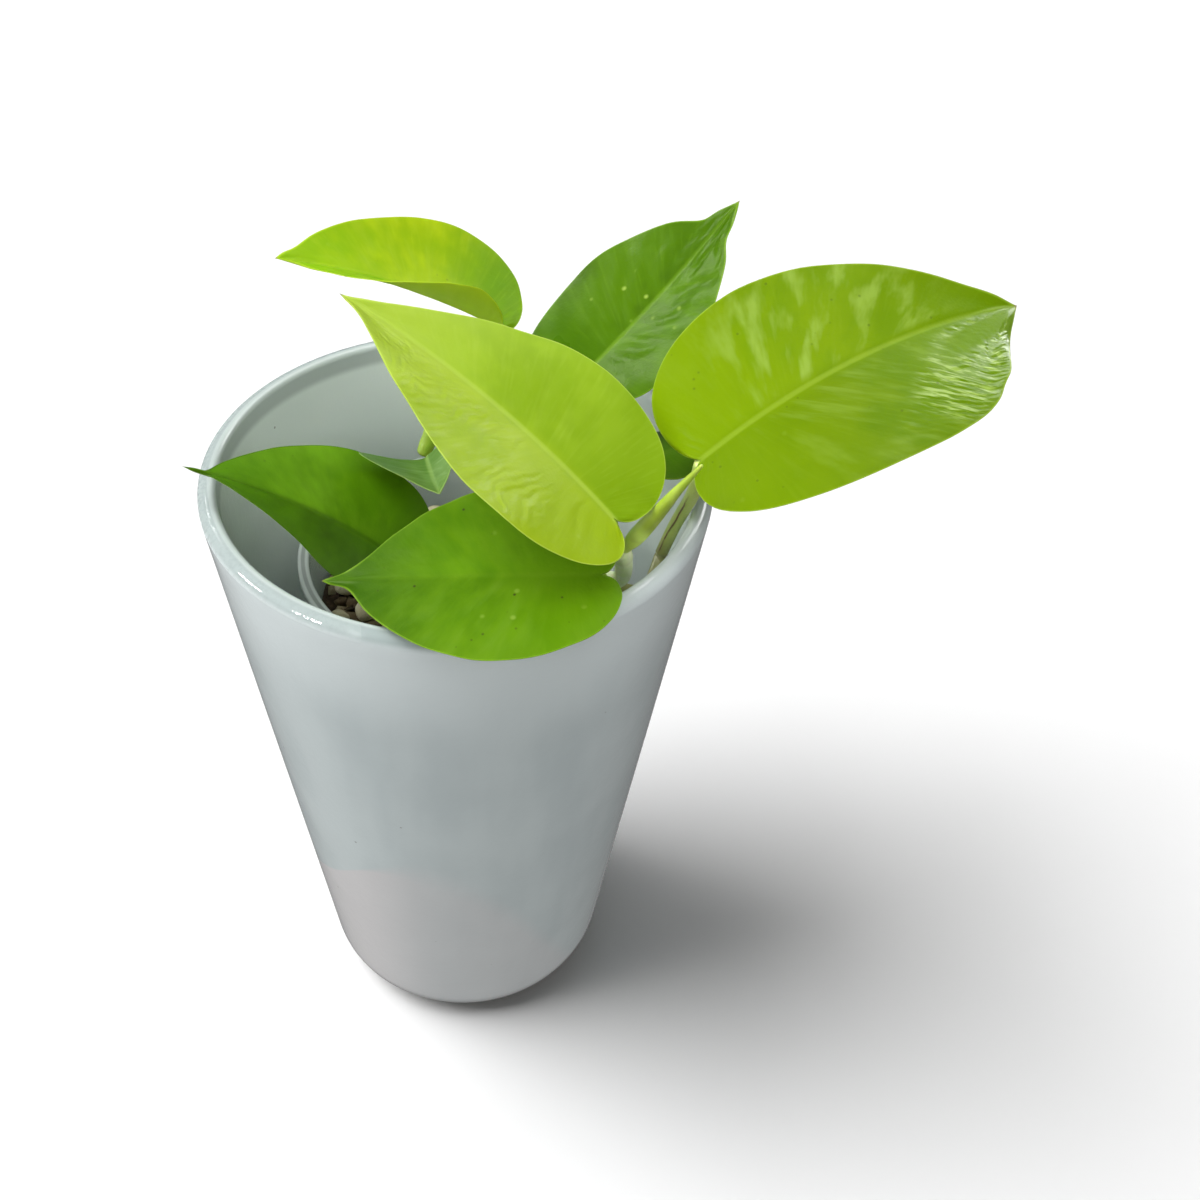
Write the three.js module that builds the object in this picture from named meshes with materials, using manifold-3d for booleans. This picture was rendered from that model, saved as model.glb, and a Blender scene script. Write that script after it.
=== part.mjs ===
// Potted lemon lime pothos.
// A tall tapered glazed planter holds a clear growing cup, and three short vines root in the cup's mix.
// Millimetres, +Z up. The origin is the centre of the planter's flat foot, on the surface it stands on.
// -Y is the front: the camera of the photograph looks down on the planter from there.

import * as THREE from 'three';
import { ParametricGeometry } from 'three/addons/geometries/ParametricGeometry.js';
import { mergeVertices } from 'three/addons/utils/BufferGeometryUtils.js';
import Module from 'manifold-3d';

const wasm = await Module();
wasm.setup();

// Driving dimensions
const GAP = 0.3; // clearance between pieces that touch

const PLANTER = {
  height: 175,
  rimRadius: 60,
  baseRadius: 39, // where the straight side would meet the ground without its rounding
  wall: 4.5,
  floor: 6,
  footRounding: 14,
  lipOuterRounding: 2.6,
  lipInnerRounding: 1.6,
  innerRounding: 8,
  wallRings: [60, 115], // heights of the rings of vertices between the foot and the lip
  segments: 48,
};

const CUP = {
  height: 142.7,
  lipRadius: 39.5,
  lipWidth: 2.8,
  lipDepth: 2.4,
  lipEdge: 0.8, // bevel along the lip's edges
  footBevel: 1.5,
  topRadius: 37.7,
  baseRadius: 25.5,
  wall: 1,
  floor: 1.2,
  segments: 40,
  drainRadius: 2.5,
  drainCircle: 14,
  drainCount: 5,
};

const MIX_TOP = 134; // height of the growing mix's level surface
const MIX_BEVEL = 1.5; // where the surface meets the cup

const STEM_SIDES = 10;
const STEM_STEPS = 16;
const STALK_SIDES = 8;
const STALK_STEPS = 10;
const DOME = 0.7; // height of a tube's domed end, as a share of its radius
const ROOT_CLEARANCE = 0.45; // between a stem and its hole, whose flat facets stand a little closer

const BLADE = {
  thickness: 0.7,
  acrossHalf: 4, // faces from the midrib to one margin
  along: 18, // faces from the stalk to the tip
  veinSlant: 2.2, // how far the side veins lean towards the tip
  endTaper: 9, // the blade has its full thickness from one ninth of its length to eight ninths
};

// How a blade's outline is drawn, the same on every leaf: how far back the lobe's curve pulls and how far
// out, how much of the lobe is taken off the shoulder, and how long the margin runs on beside the midrib
const OUTLINE = { lobePull: 1.35, sinusOut: 0.1, shoulderLobe: 0.5, fullRun: 0.27 };

// Stems: points along the centre line from the rooted end to the growing end, and the two radii
const STEMS = {
  stem_front: {
    points: [[28.5, 2, 112], [29, -1, 126], [29.5, -6, 138], [31.5, -12, 149], [36, -24, 160], [36, -31, 170],
      [34.8, -34.5, 177.5]],
    radii: [1.9, 2],
  },
  stem_back: {
    points: [[4, 6, 112], [5, 7, 126], [6.5, 8, 140], [8, 8, 153], [10, 7, 166], [11, 6.5, 172]],
    radii: [2, 1.8],
  },
  stem_left: {
    points: [[-7, 2, 112], [-8, 2, 124], [-9, 1, 136], [-9.5, -1, 146]],
    radii: [1.8, 1.6],
  },
};

// Leaves, one entry each. Angles are in degrees.
// base: where the stalk meets the blade. heading: the way the midrib points, seen from above, from +X
// towards +Y. rise: its climb at the base. droop: how far it has bent down at the tip. sway: how far it has
// bent to its left at the tip. roll: right margin down, at the base. twist: more roll gained by the tip.
// fold: each half lifted from the midrib. cup: how far each half curls up as well, as a share of its width.
// left and right: half width, how far the lobe reaches behind the stalk, where the half is widest as a share
// of the length, and how full the half stays close to the tip. Shoulder says how round the margin runs before
// the widest place, and taper how far along it turns in towards the tip, both as shares of the length.
const LEAVES = {
  leaf_centre: {
    base: [31, -43, 194],
    heading: 142,
    rise: 33,
    droop: 15.5,
    sway: 9.5,
    roll: -2,
    twist: 0,
    fold: 11,
    cup: 0,
    length: 72.5,
    left: { width: 25, lobe: 11.5, widest: 0.3, fullness: 0.17, shoulder: 0.27, taper: 0.85 },
    right: { width: 25, lobe: 6, widest: 0.27, fullness: 0.14, shoulder: 0.31, taper: 0.85 },
    colour: 0xa5c325,
  },
  leaf_right: {
    base: [51.3, -26.3, 196],
    heading: 19.5,
    rise: 35,
    droop: 43.5,
    sway: 6,
    roll: 15.5,
    twist: 7.5,
    fold: 9,
    cup: 0.01,
    length: 85,
    left: { width: 27, lobe: 3.5, widest: 0.3, fullness: 0.21, shoulder: 0.39, taper: 0.87 },
    right: { width: 27.5, lobe: 6.5, widest: 0.5, fullness: 0.63, shoulder: 0.6, taper: 0.78 },
    colour: 0x98c400,
  },
  leaf_back_left: {
    base: [10.6, 20.6, 200],
    heading: 167,
    rise: 24.5,
    droop: 8.5,
    sway: 32,
    roll: 21.5,
    twist: -38,
    fold: 27,
    cup: 0.095,
    length: 54,
    left: { width: 23, lobe: 0.8, widest: 0.29, fullness: 0.02, shoulder: 0.23, taper: 0.79 },
    right: { width: 22, lobe: 5, widest: 0.22, fullness: 0.28, shoulder: 0.25, taper: 0.92 },
    colour: 0x86b81c,
  },
  leaf_back_right: {
    base: [27.2, 9.9, 191],
    heading: 36,
    rise: 27.5,
    droop: -17,
    sway: -6.5,
    roll: -3,
    twist: 1.5,
    fold: 8.5,
    cup: -0.035,
    length: 57.5,
    left: { width: 22.5, lobe: 9, widest: 0.38, fullness: 0.24, shoulder: 0.5, taper: 0.86 },
    right: { width: 21, lobe: 7, widest: 0.33, fullness: 0.2, shoulder: 0.31, taper: 0.86 },
    colour: 0x5e9a0a,
  },
  leaf_front: {
    base: [28.3, -49.6, 184.5],
    heading: 178,
    rise: -1,
    droop: 17,
    sway: -17,
    roll: -14,
    twist: -6.5,
    fold: 7,
    cup: 0,
    length: 60,
    left: { width: 21.5, lobe: 7.5, widest: 0.33, fullness: 0.3, shoulder: 0.3, taper: 0.8 },
    right: { width: 20.5, lobe: 7, widest: 0.36, fullness: 0.2, shoulder: 0.3, taper: 0.8 },
    colour: 0x5f9c08,
  },
  leaf_left: {
    base: [-13.2, -12.3, 156],
    heading: 178,
    rise: 44,
    droop: 19,
    sway: 13,
    roll: -17.5,
    twist: 26,
    fold: 13,
    cup: 0,
    length: 56.5,
    left: { width: 21, lobe: 7, widest: 0.32, fullness: 0.1, shoulder: 0.3, taper: 0.81 },
    right: { width: 21, lobe: 6.5, widest: 0.3, fullness: 0.16, shoulder: 0.33, taper: 0.84 },
    colour: 0x467a0c,
  },
  leaf_inner_left: {
    base: [-7.9, 11.7, 169],
    heading: 280,
    rise: 0,
    droop: -20,
    sway: 0,
    roll: 16,
    twist: -11,
    fold: 34,
    cup: 0.1,
    length: 19.6,
    left: { width: 7.9, lobe: 0.5, widest: 0.32, fullness: 0.12, shoulder: 0.3, taper: 0.82 },
    right: { width: 17.6, lobe: -2.5, widest: 0.33, fullness: 0.13, shoulder: 0.23, taper: 0.82 },
    colour: 0x5f9350,
  },
  leaf_inner_right: {
    base: [42.3, -11.6, 184.5],
    heading: 39,
    rise: -2,
    droop: 17.5,
    sway: 5,
    roll: -1.5,
    twist: -38,
    fold: 2,
    cup: 0,
    length: 37,
    left: { width: 11.5, lobe: 3, widest: 0.33, fullness: 0.12, shoulder: 0.3, taper: 0.82 },
    right: { width: 11.5, lobe: 3, widest: 0.28, fullness: 0.12, shoulder: 0.44, taper: 0.82 },
    colour: 0x4c8206,
  },
};

// Leaf stalks. stem and at say which stem one grows from and at what share of the stem's length; points lead
// from there up towards the blade, and the last point is worked out from the blade. The radii are those at
// the stem and at the blade. behind says how far behind the blade's base the stalk ends; a short value puts
// the end under the blade. The centre leaf's stalk goes on from the tip of its stem.
const STALKS = {
  stalk_centre: {
    leaf: 'leaf_centre',
    points: [[32.3, -36.3, 181.5], [32.3, -39, 186.5]],
    radii: [1.3, 1.1],
  },
  stalk_right: {
    leaf: 'leaf_right',
    stem: 'stem_front',
    at: 0.6,
    points: [[39.5, -19.5, 152.3], [43.5, -18.3, 151.6], [46.2, -13.8, 152.8], [47.8, -11.2, 156.5],
      [48.7, -11.9, 161], [49.8, -13.4, 167], [50.7, -16.6, 174], [51.3, -20, 180], [51.6, -23.7, 187]],
    radii: [1.5, 1.6],
  },
  stalk_back_left: {
    leaf: 'leaf_back_left',
    stem: 'stem_back',
    at: 0.6,
    points: [[6.5, 15, 153], [6.5, 18.5, 168], [9.5, 22, 186]],
    radii: [1.3, 1.1],
  },
  stalk_back_right: {
    leaf: 'leaf_back_right',
    stem: 'stem_back',
    at: 0.78,
    points: [[15, 8, 163], [20, 9.5, 174]],
    radii: [1.3, 1.1],
  },
  stalk_front: {
    leaf: 'leaf_front',
    stem: 'stem_front',
    at: 0.66,
    points: [[30, -23.5, 159.5], [29.6, -31, 166], [29.6, -40, 175]],
    radii: [1.3, 1.1],
  },
  stalk_left: {
    leaf: 'leaf_left',
    stem: 'stem_left',
    at: 0.92,
    points: [[-10.5, -6, 150.5]],
    radii: [1.2, 1],
  },
  stalk_inner_left: {
    leaf: 'leaf_inner_left',
    stem: 'stem_back',
    at: 0.95,
    points: [[6, 10, 176], [0, 13, 180], [-5.5, 14.2, 177], [-7.4, 14.3, 171.5]],
    radii: [1.3, 1.8],
    behind: 2.4,
  },
  stalk_inner_right: {
    leaf: 'leaf_inner_right',
    stem: 'stem_back',
    at: 0.99,
    points: [[21, 0.5, 178.5], [31, -6, 181.5]],
    radii: [1.2, 1],
  },
};

// The newest leaf, still rolled into a spike beside the centre leaf's stalk. It keeps its thickness for long
// and then comes to a point.
const LEAF_ROLL = {
  points: [[36.3, -36, 181.6], [40.4, -37.8, 189.8], [44.3, -39.7, 198], [48.3, -41.6, 206]],
  radii: [2, 0.4],
  narrowing: 1.8,
};

// Stones that lie on the mix: place of the centre, then length, width and height, then turn in degrees
const PEBBLES = [
  [-28, 2, 8, 6, 4.6, 30],
  [-23, -7, 9, 7, 5.2, 75],
  [-30, -10, 6, 5, 4, 10],
  [-17, -16, 7, 6, 4.8, 120],
  [-8, -25, 8, 6, 5, 60],
  [4, -29, 7, 6.5, 4.6, 0],
  [16, -26, 8, 6, 5, 140],
  [30, 9, 6, 5, 4, 45],
  [22, 18, 8, 6, 5, 100],
  [10, 27, 7, 6, 4.4, 20],
  [-6, 29, 8, 6, 5, 165],
  [-20, 23, 7, 5, 4.2, 80],
  [-28, 12, 6, 5, 4, 130],
  [-17, 8, 7, 6, 4.6, 50],
  [18, 1, 8, 6, 5, 15],
  [2, -9, 7, 6, 4.8, 95],
];

const COLOURS = {
  planter: { color: 0xcdd6d6, roughness: 0.18, metalness: 0 },
  growingCup: { color: 0x9fa8a6, roughness: 0.25, metalness: 0 },
  growingMix: { color: 0x3a2a1e, roughness: 0.95, metalness: 0 },
  pebble: { color: 0xa89a7c, roughness: 0.8, metalness: 0 },
  stem: { color: 0xa9bf6a, roughness: 0.5, metalness: 0 },
  stalk: { color: 0xa3bd52, roughness: 0.45, metalness: 0 },
  leafRoll: { color: 0xb4d232, roughness: 0.4, metalness: 0 },
};

const DEGREE = Math.PI / 180;
const TURN = 2 * Math.PI;

// Shared helpers

function vector(point) {
  return new THREE.Vector3(...point);
}

// Leaves only the positions, so that seams and poles become shared vertices.
function weld(geometry) {
  geometry.deleteAttribute('normal');
  geometry.deleteAttribute('uv');
  return mergeVertices(geometry, 1e-4);
}

function toSolid(geometry) {
  const welded = weld(geometry.clone());
  return new wasm.Manifold(new wasm.Mesh({
    numProp: 3,
    vertProperties: new Float32Array(welded.attributes.position.array),
    triVerts: new Uint32Array(welded.index.array),
  }));
}

function toGeometry(solid) {
  const mesh = solid.getMesh();
  const geometry = new THREE.BufferGeometry();
  geometry.setAttribute('position', new THREE.BufferAttribute(mesh.vertProperties, 3));
  geometry.setIndex(new THREE.BufferAttribute(mesh.triVerts, 1));
  return geometry;
}

function piece(name, geometry, look) {
  const mesh = new THREE.Mesh(geometry, new THREE.MeshStandardMaterial(look));
  mesh.name = name;
  return mesh;
}

// Turns a profile of [radius, height] points, from the axis round to the axis, about the vertical axis.
function turned(profile, segments) {
  const points = profile.map(([radius, height]) => new THREE.Vector2(radius, height));
  return weld(new THREE.LatheGeometry(points, segments).rotateX(Math.PI / 2));
}

// Points on a circular arc in the profile plane, both ends included; angles in degrees.
function arc(centreRadius, centreHeight, radius, from, to, steps) {
  return Array.from({ length: steps + 1 }, (unused, i) => {
    const angle = (from + (to - from) * i / steps) * DEGREE;
    return [centreRadius + radius * Math.cos(angle), centreHeight + radius * Math.sin(angle)];
  });
}

// A round closed tube along smooth points. Its radius runs from the first value to the second, evenly or,
// with a narrowing above 1, late. Each end closes in a low dome.
function tube(points, radii, sides, steps, narrowing = 1) {
  const curve = new THREE.CatmullRomCurve3(points.map(vector));
  const frames = curve.computeFrenetFrames(steps);
  const stations = steps + 2;
  const surface = (u, v, target) => {
    const station = Math.round(v * stations);
    const step = Math.min(Math.max(station - 1, 0), steps);
    const radius = radii[0] + (radii[1] - radii[0]) * (step / steps) ** narrowing;
    const closing = station === 0 || station === stations;
    const side = station === 0 ? -1 : 1;
    target.copy(curve.getPointAt(step / steps));
    target.addScaledVector(frames.tangents[step], closing ? side * DOME * radius : 0);
    const angle = TURN * u;
    target.addScaledVector(frames.normals[step], closing ? 0 : radius * Math.cos(angle));
    target.addScaledVector(frames.binormals[step], closing ? 0 : radius * Math.sin(angle));
  };
  return weld(new ParametricGeometry(surface, sides, stations));
}

// Planter: one thick wall, rounded where it meets the ground and over the lip

function planterSide(height) {
  const { rimRadius, baseRadius, height: full } = PLANTER;
  return baseRadius + (rimRadius - baseRadius) * height / full;
}

function planter() {
  const { height, wall, floor, wallRings } = PLANTER;
  const { footRounding, lipOuterRounding, lipInnerRounding, innerRounding } = PLANTER;
  const slope = (PLANTER.rimRadius - PLANTER.baseRadius) / height;
  const lean = Math.atan(slope) / DEGREE;
  const stretch = Math.hypot(1, slope);
  const footCentre = planterSide(footRounding) - footRounding * stretch;
  const innerBottom = floor + innerRounding;
  const innerCentre = planterSide(innerBottom) - wall - innerRounding * stretch;
  const outerLipHeight = height - lipOuterRounding;
  const innerLipHeight = height - lipInnerRounding;
  const outerLipCentre = planterSide(outerLipHeight) - lipOuterRounding * stretch;
  const innerLipCentre = planterSide(innerLipHeight) - wall + lipInnerRounding * stretch;
  return turned([
    [0, 0],
    ...arc(footCentre, footRounding, footRounding, -90, -lean, 7),
    ...wallRings.map((ring) => [planterSide(ring), ring]),
    ...arc(outerLipCentre, outerLipHeight, lipOuterRounding, -lean, 90, 4),
    ...arc(innerLipCentre, innerLipHeight, lipInnerRounding, 90, 180 - lean, 3),
    ...wallRings.map((ring) => [planterSide(ring) - wall, ring]).reverse(),
    ...arc(innerCentre, innerBottom, innerRounding, -lean, -90, 4),
    [0, floor],
  ], PLANTER.segments);
}

// Growing cup: a thin clear cup with a flat rolled lip and drain holes, standing on the planter's floor

const CUP_BOTTOM = PLANTER.floor + GAP;
const CUP_TOP = CUP_BOTTOM + CUP.height;

function cupSide(height) {
  const { baseRadius, topRadius } = CUP;
  return baseRadius + (topRadius - baseRadius) * (height - CUP_BOTTOM) / CUP.height;
}

function growingCup() {
  const { lipRadius, lipWidth, lipDepth, lipEdge, footBevel, wall, floor, drainRadius, drainCircle } = CUP;
  const lipBottom = CUP_TOP - lipDepth;
  const cup = turned([
    [0, CUP_BOTTOM],
    [cupSide(CUP_BOTTOM) - footBevel, CUP_BOTTOM],
    [cupSide(CUP_BOTTOM + footBevel), CUP_BOTTOM + footBevel],
    [cupSide(lipBottom), lipBottom],
    [lipRadius - lipEdge / 2, lipBottom],
    [lipRadius, lipBottom + lipEdge / 2],
    [lipRadius, CUP_TOP - lipEdge],
    [lipRadius - lipEdge, CUP_TOP],
    [lipRadius - lipWidth + lipEdge, CUP_TOP],
    [lipRadius - lipWidth, CUP_TOP - lipEdge],
    [cupSide(lipBottom - lipDepth) - wall, lipBottom - lipDepth],
    [cupSide(CUP_BOTTOM + floor) - wall, CUP_BOTTOM + floor],
    [0, CUP_BOTTOM + floor],
  ], CUP.segments);
  let solid = toSolid(cup);
  for (let i = 0; i < CUP.drainCount; i += 1) {
    const angle = TURN * i / CUP.drainCount;
    const drill = new THREE.CylinderGeometry(drainRadius, drainRadius, 3 * floor, 10).rotateX(Math.PI / 2);
    drill.translate(drainCircle * Math.cos(angle), drainCircle * Math.sin(angle), CUP_BOTTOM + floor / 2);
    solid = solid.subtract(toSolid(drill));
  }
  return toGeometry(solid);
}

// Growing mix: fills the cup to its level surface, with a snug hole where each stem is rooted

function growingMix() {
  const bottom = CUP_BOTTOM + CUP.floor + GAP;
  const side = (height) => cupSide(height) - CUP.wall - GAP;
  let solid = toSolid(turned([
    [0, bottom],
    [side(bottom), bottom],
    [side(MIX_TOP - MIX_BEVEL), MIX_TOP - MIX_BEVEL],
    [side(MIX_TOP) - MIX_BEVEL, MIX_TOP],
    [0, MIX_TOP],
  ], CUP.segments));
  for (const { points, radii } of Object.values(STEMS)) {
    const hole = tube(points, radii.map((radius) => radius + ROOT_CLEARANCE), STEM_SIDES, STEM_STEPS);
    solid = solid.subtract(toSolid(hole));
  }
  return toGeometry(solid);
}

// Pebbles: rounded stones, each a little different, resting on the mix

function pebble([x, y, length, width, height, turn]) {
  const stone = weld(new THREE.IcosahedronGeometry(0.5, 1));
  stone.rotateX(turn * 3 * DEGREE);
  stone.scale(length, width, height);
  stone.rotateZ(turn * DEGREE);
  stone.computeBoundingBox();
  return stone.translate(x, y, MIX_TOP + GAP - stone.boundingBox.min.z);
}

// Leaf blades

// The way travelled along one axis by a line that turns evenly: the integral of cos(start + rate s) to s.
function evenTurn(start, rate, s) {
  return Math.abs(rate) < 1e-6 ? Math.cos(start) * s : (Math.sin(start + rate * s) - Math.sin(start)) / rate;
}

// Position and frame on the midrib at a share s of its length; before the stalk it runs straight back.
function midrib(leaf, s) {
  const onBlade = Math.min(Math.max(s, 0), 1);
  const rise = leaf.rise * DEGREE;
  const heading = leaf.heading * DEGREE;
  const droop = leaf.droop * DEGREE;
  const sway = leaf.sway * DEGREE;
  const sum = evenTurn(rise + heading, sway - droop, onBlade);
  const difference = evenTurn(rise - heading, -droop - sway, onBlade);
  const sumAcross = evenTurn(rise + heading - Math.PI / 2, sway - droop, onBlade);
  const differenceAcross = evenTurn(rise - heading - Math.PI / 2, -droop - sway, onBlade);
  const climb = evenTurn(rise - Math.PI / 2, -droop, onBlade);
  const way = new THREE.Vector3((sum + difference) / 2, (sumAcross - differenceAcross) / 2, climb);
  const pitch = rise - droop * onBlade;
  const yaw = heading + sway * onBlade;
  const tangent = new THREE.Vector3(
    Math.cos(pitch) * Math.cos(yaw),
    Math.cos(pitch) * Math.sin(yaw),
    Math.sin(pitch),
  );
  const level = new THREE.Vector3(Math.sin(yaw), -Math.cos(yaw), 0);
  const upright = new THREE.Vector3().crossVectors(level, tangent);
  const roll = (leaf.roll + leaf.twist * onBlade) * DEGREE;
  const side = level.clone().multiplyScalar(Math.cos(roll)).addScaledVector(upright, -Math.sin(roll));
  const normal = upright.clone().multiplyScalar(Math.cos(roll)).addScaledVector(level, Math.sin(roll));
  const position = vector(leaf.base).addScaledVector(way, leaf.length);
  position.addScaledVector(tangent, (s - onBlade) * leaf.length);
  return { position, tangent, side, normal };
}

// Half the flat outline, from the stalk (t = 0) round the lobe to the widest place (t = 0.5) and the tip
// (t = 1). x runs along the midrib and y away from it.
function halfOutline(length, { width, lobe, widest, fullness, shoulder, taper }) {
  const middle = widest * length;
  const curves = [
    new THREE.CubicBezierCurve(
      new THREE.Vector2(0, 0),
      new THREE.Vector2(-OUTLINE.lobePull * lobe, OUTLINE.sinusOut * width),
      new THREE.Vector2(middle - shoulder * length - OUTLINE.shoulderLobe * lobe, width),
      new THREE.Vector2(middle, width),
    ),
    new THREE.CubicBezierCurve(
      new THREE.Vector2(middle, width),
      new THREE.Vector2(middle + OUTLINE.fullRun * length, width),
      new THREE.Vector2(taper * length, fullness * width),
      new THREE.Vector2(length, 0),
    ),
  ];
  return (t) => (t < 0.5 ? curves[0].getPoint(2 * t) : curves[1].getPoint(2 * t - 1));
}

// A point of the blade's middle surface. across runs from -1, the left margin, to 1, the right margin,
// along a side vein; t says which vein, from the stalk to the tip.
function bladePoint(leaf, outlines, across, t) {
  const share = Math.abs(across);
  const edge = (across < 0 ? outlines.left : outlines.right)(t);
  const veinStart = leaf.length * t ** BLADE.veinSlant;
  const forward = veinStart + (edge.x - veinStart) * share;
  const out = edge.y * share;
  const frame = midrib(leaf, forward / leaf.length);
  const fold = leaf.fold * DEGREE;
  const halfWidth = Math.max(leaf.left.width, leaf.right.width);
  const lift = out * Math.sin(fold) + leaf.cup * out * out / halfWidth;
  frame.position.addScaledVector(frame.side, Math.sign(across) * out * Math.cos(fold));
  frame.position.addScaledVector(frame.normal, lift);
  return frame;
}

// The blade as a closed, very flat tube: over the top from margin to margin and back underneath.
function blade(leaf) {
  const outlines = {
    left: halfOutline(leaf.length, leaf.left),
    right: halfOutline(leaf.length, leaf.right),
  };
  const surface = (u, v, target) => {
    const across = u < 0.5 ? 4 * u - 1 : 3 - 4 * u;
    const { position, normal } = bladePoint(leaf, outlines, across, v);
    const towardsEnds = Math.min(1, BLADE.endTaper * v, BLADE.endTaper * (1 - v));
    const half = BLADE.thickness / 2 * Math.sqrt(1 - across * across) * towardsEnds;
    target.copy(position).addScaledVector(normal, u < 0.5 ? half : -half);
  };
  return weld(new ParametricGeometry(surface, 4 * BLADE.acrossHalf, BLADE.along));
}

// Leaf stalks and the rolled leaf

// The stalk starts clear of its stem's surface and ends clear of the blade's underside.
function stalk({ leaf, stem, at, points, radii, behind = 0.5 }) {
  const route = [...points];
  if (stem) {
    const carrier = STEMS[stem];
    const centreLine = new THREE.CatmullRomCurve3(carrier.points.map(vector));
    const joint = centreLine.getPointAt(at);
    const axis = centreLine.getTangentAt(at);
    const carrierRadius = carrier.radii[0] + (carrier.radii[1] - carrier.radii[0]) * at;
    const outwards = vector(points[0]).sub(joint).projectOnPlane(axis).normalize();
    route.unshift(joint.addScaledVector(outwards, carrierRadius + GAP + radii[0]).toArray());
  }
  const { position, normal, tangent } = midrib(LEAVES[leaf], 0);
  const below = behind > radii[1] ? 0 : GAP + radii[1];
  route.push(position.addScaledVector(normal, -below).addScaledVector(tangent, -behind).toArray());
  return tube(route, radii, STALK_SIDES, STALK_STEPS);
}

// The assembly

const plant = new THREE.Group();
plant.add(piece('planter', planter(), COLOURS.planter));
plant.add(piece('growing_cup', growingCup(), COLOURS.growingCup));
plant.add(piece('growing_mix', growingMix(), COLOURS.growingMix));
PEBBLES.forEach((entry, i) => {
  const name = `pebble_${String(i + 1).padStart(2, '0')}`;
  plant.add(piece(name, pebble(entry), COLOURS.pebble));
});
for (const [name, { points, radii }] of Object.entries(STEMS)) {
  plant.add(piece(name, tube(points, radii, STEM_SIDES, STEM_STEPS), COLOURS.stem));
}
for (const [name, entry] of Object.entries(STALKS)) {
  plant.add(piece(name, stalk(entry), COLOURS.stalk));
}
for (const [name, leaf] of Object.entries(LEAVES)) {
  plant.add(piece(name, blade(leaf), { color: leaf.colour, roughness: 0.35, metalness: 0 }));
}
const { points: rollPoints, radii: rollRadii, narrowing } = LEAF_ROLL;
const leafRoll = tube(rollPoints, rollRadii, STALK_SIDES, STALK_STEPS, narrowing);
plant.add(piece('leaf_roll', leafRoll, COLOURS.leafRoll));

export default plant;
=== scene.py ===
# %% [markdown]
# # A lime green pothos in a glazed planter
#
# The real object is a young trailing plant. Its heart-shaped leaves grow on three short vines, the
# vines root in a clear growing cup full of bark and peat, and the cup stands inside a tall,
# tapered, glazed planter. A imported frame holds the plain solids at their real size. This lesson
# builds the surface that the eye sees around them: each new piece stands where its plain solid
# stands.

import bpy
import numpy as np
from mathutils import Matrix, Vector


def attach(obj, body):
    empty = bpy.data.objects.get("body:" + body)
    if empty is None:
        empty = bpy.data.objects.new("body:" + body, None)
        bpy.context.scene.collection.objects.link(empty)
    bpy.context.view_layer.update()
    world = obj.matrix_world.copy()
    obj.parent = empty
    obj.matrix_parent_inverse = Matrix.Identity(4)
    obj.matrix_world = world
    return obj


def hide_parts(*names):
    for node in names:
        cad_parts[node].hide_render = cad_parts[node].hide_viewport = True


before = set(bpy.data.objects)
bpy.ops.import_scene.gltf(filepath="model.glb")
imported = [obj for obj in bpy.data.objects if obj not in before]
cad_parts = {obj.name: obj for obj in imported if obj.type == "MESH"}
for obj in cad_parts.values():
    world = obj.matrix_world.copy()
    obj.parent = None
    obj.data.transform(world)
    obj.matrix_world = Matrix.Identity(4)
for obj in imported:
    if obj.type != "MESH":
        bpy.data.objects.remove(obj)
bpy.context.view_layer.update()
MM = 0.001  # the lesson's lengths are in millimetres; this turns them into Blender's metres
print("nodes in the frame:", len(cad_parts))

# %% [markdown]
# ## The camera
#
# The photograph looks down on the planter from its front left. The way its upright sides close in
# towards the foot, and the shape of the rim's ellipse, fix the camera: how far it is, how steeply
# it looks down, and how long its lens is. The values below are real ones, in millimetres and
# degrees, found once from those outlines.

# %% Place the camera
PLANTER_HEIGHT = 175
EYE_DISTANCE = 330  # from the middle of the rim
EYE_RISE = 37.2  # how high the camera stands above the rim's plane, seen from the rim's middle
LOOK_YAW = 7.66  # turned to the right
LOOK_DOWN = 42.5
LOOK_ROLL = 4.08
SENSOR = 36
FOCAL_SHARE = 1400 / 1200  # focal length as a share of the picture's width


def look_axes(yaw, down, roll):
    """Right, up and forward of a camera turned right by yaw from +Y, tipped down, then rolled."""
    yaw, down, roll = np.radians([yaw, down, roll])
    forward = np.array([np.sin(yaw) * np.cos(down), np.cos(yaw) * np.cos(down), -np.sin(down)])
    level = np.array([np.cos(yaw), -np.sin(yaw), 0])
    upright = np.cross(level, forward)
    right = level * np.cos(roll) + upright * np.sin(roll)
    up = upright * np.cos(roll) - level * np.sin(roll)
    return right, up, forward


def place_camera():
    """Stands the camera EYE_DISTANCE from the rim's middle, in front of it and EYE_RISE above."""
    lens = bpy.data.cameras.new("camera")
    lens.sensor_width = SENSOR
    lens.lens = FOCAL_SHARE * SENSOR
    lens.clip_start = 0.01
    camera = bpy.data.objects.new("camera", lens)
    rise = np.radians(EYE_RISE)
    from_rim = np.array([0, -np.cos(rise), np.sin(rise)]) * EYE_DISTANCE
    right, up, forward = look_axes(LOOK_YAW, LOOK_DOWN, LOOK_ROLL)
    turn = np.eye(4)
    turn[:3, :3] = np.stack([right, up, -forward], axis=1)
    turn[:3, 3] = (from_rim + [0, 0, PLANTER_HEIGHT]) * MM
    camera.matrix_world = Matrix(turn.tolist())
    bpy.context.scene.collection.objects.link(camera)
    bpy.context.scene.camera = camera
    return camera


camera = place_camera()
print("camera at", [round(v, 3) for v in camera.location])

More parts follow.
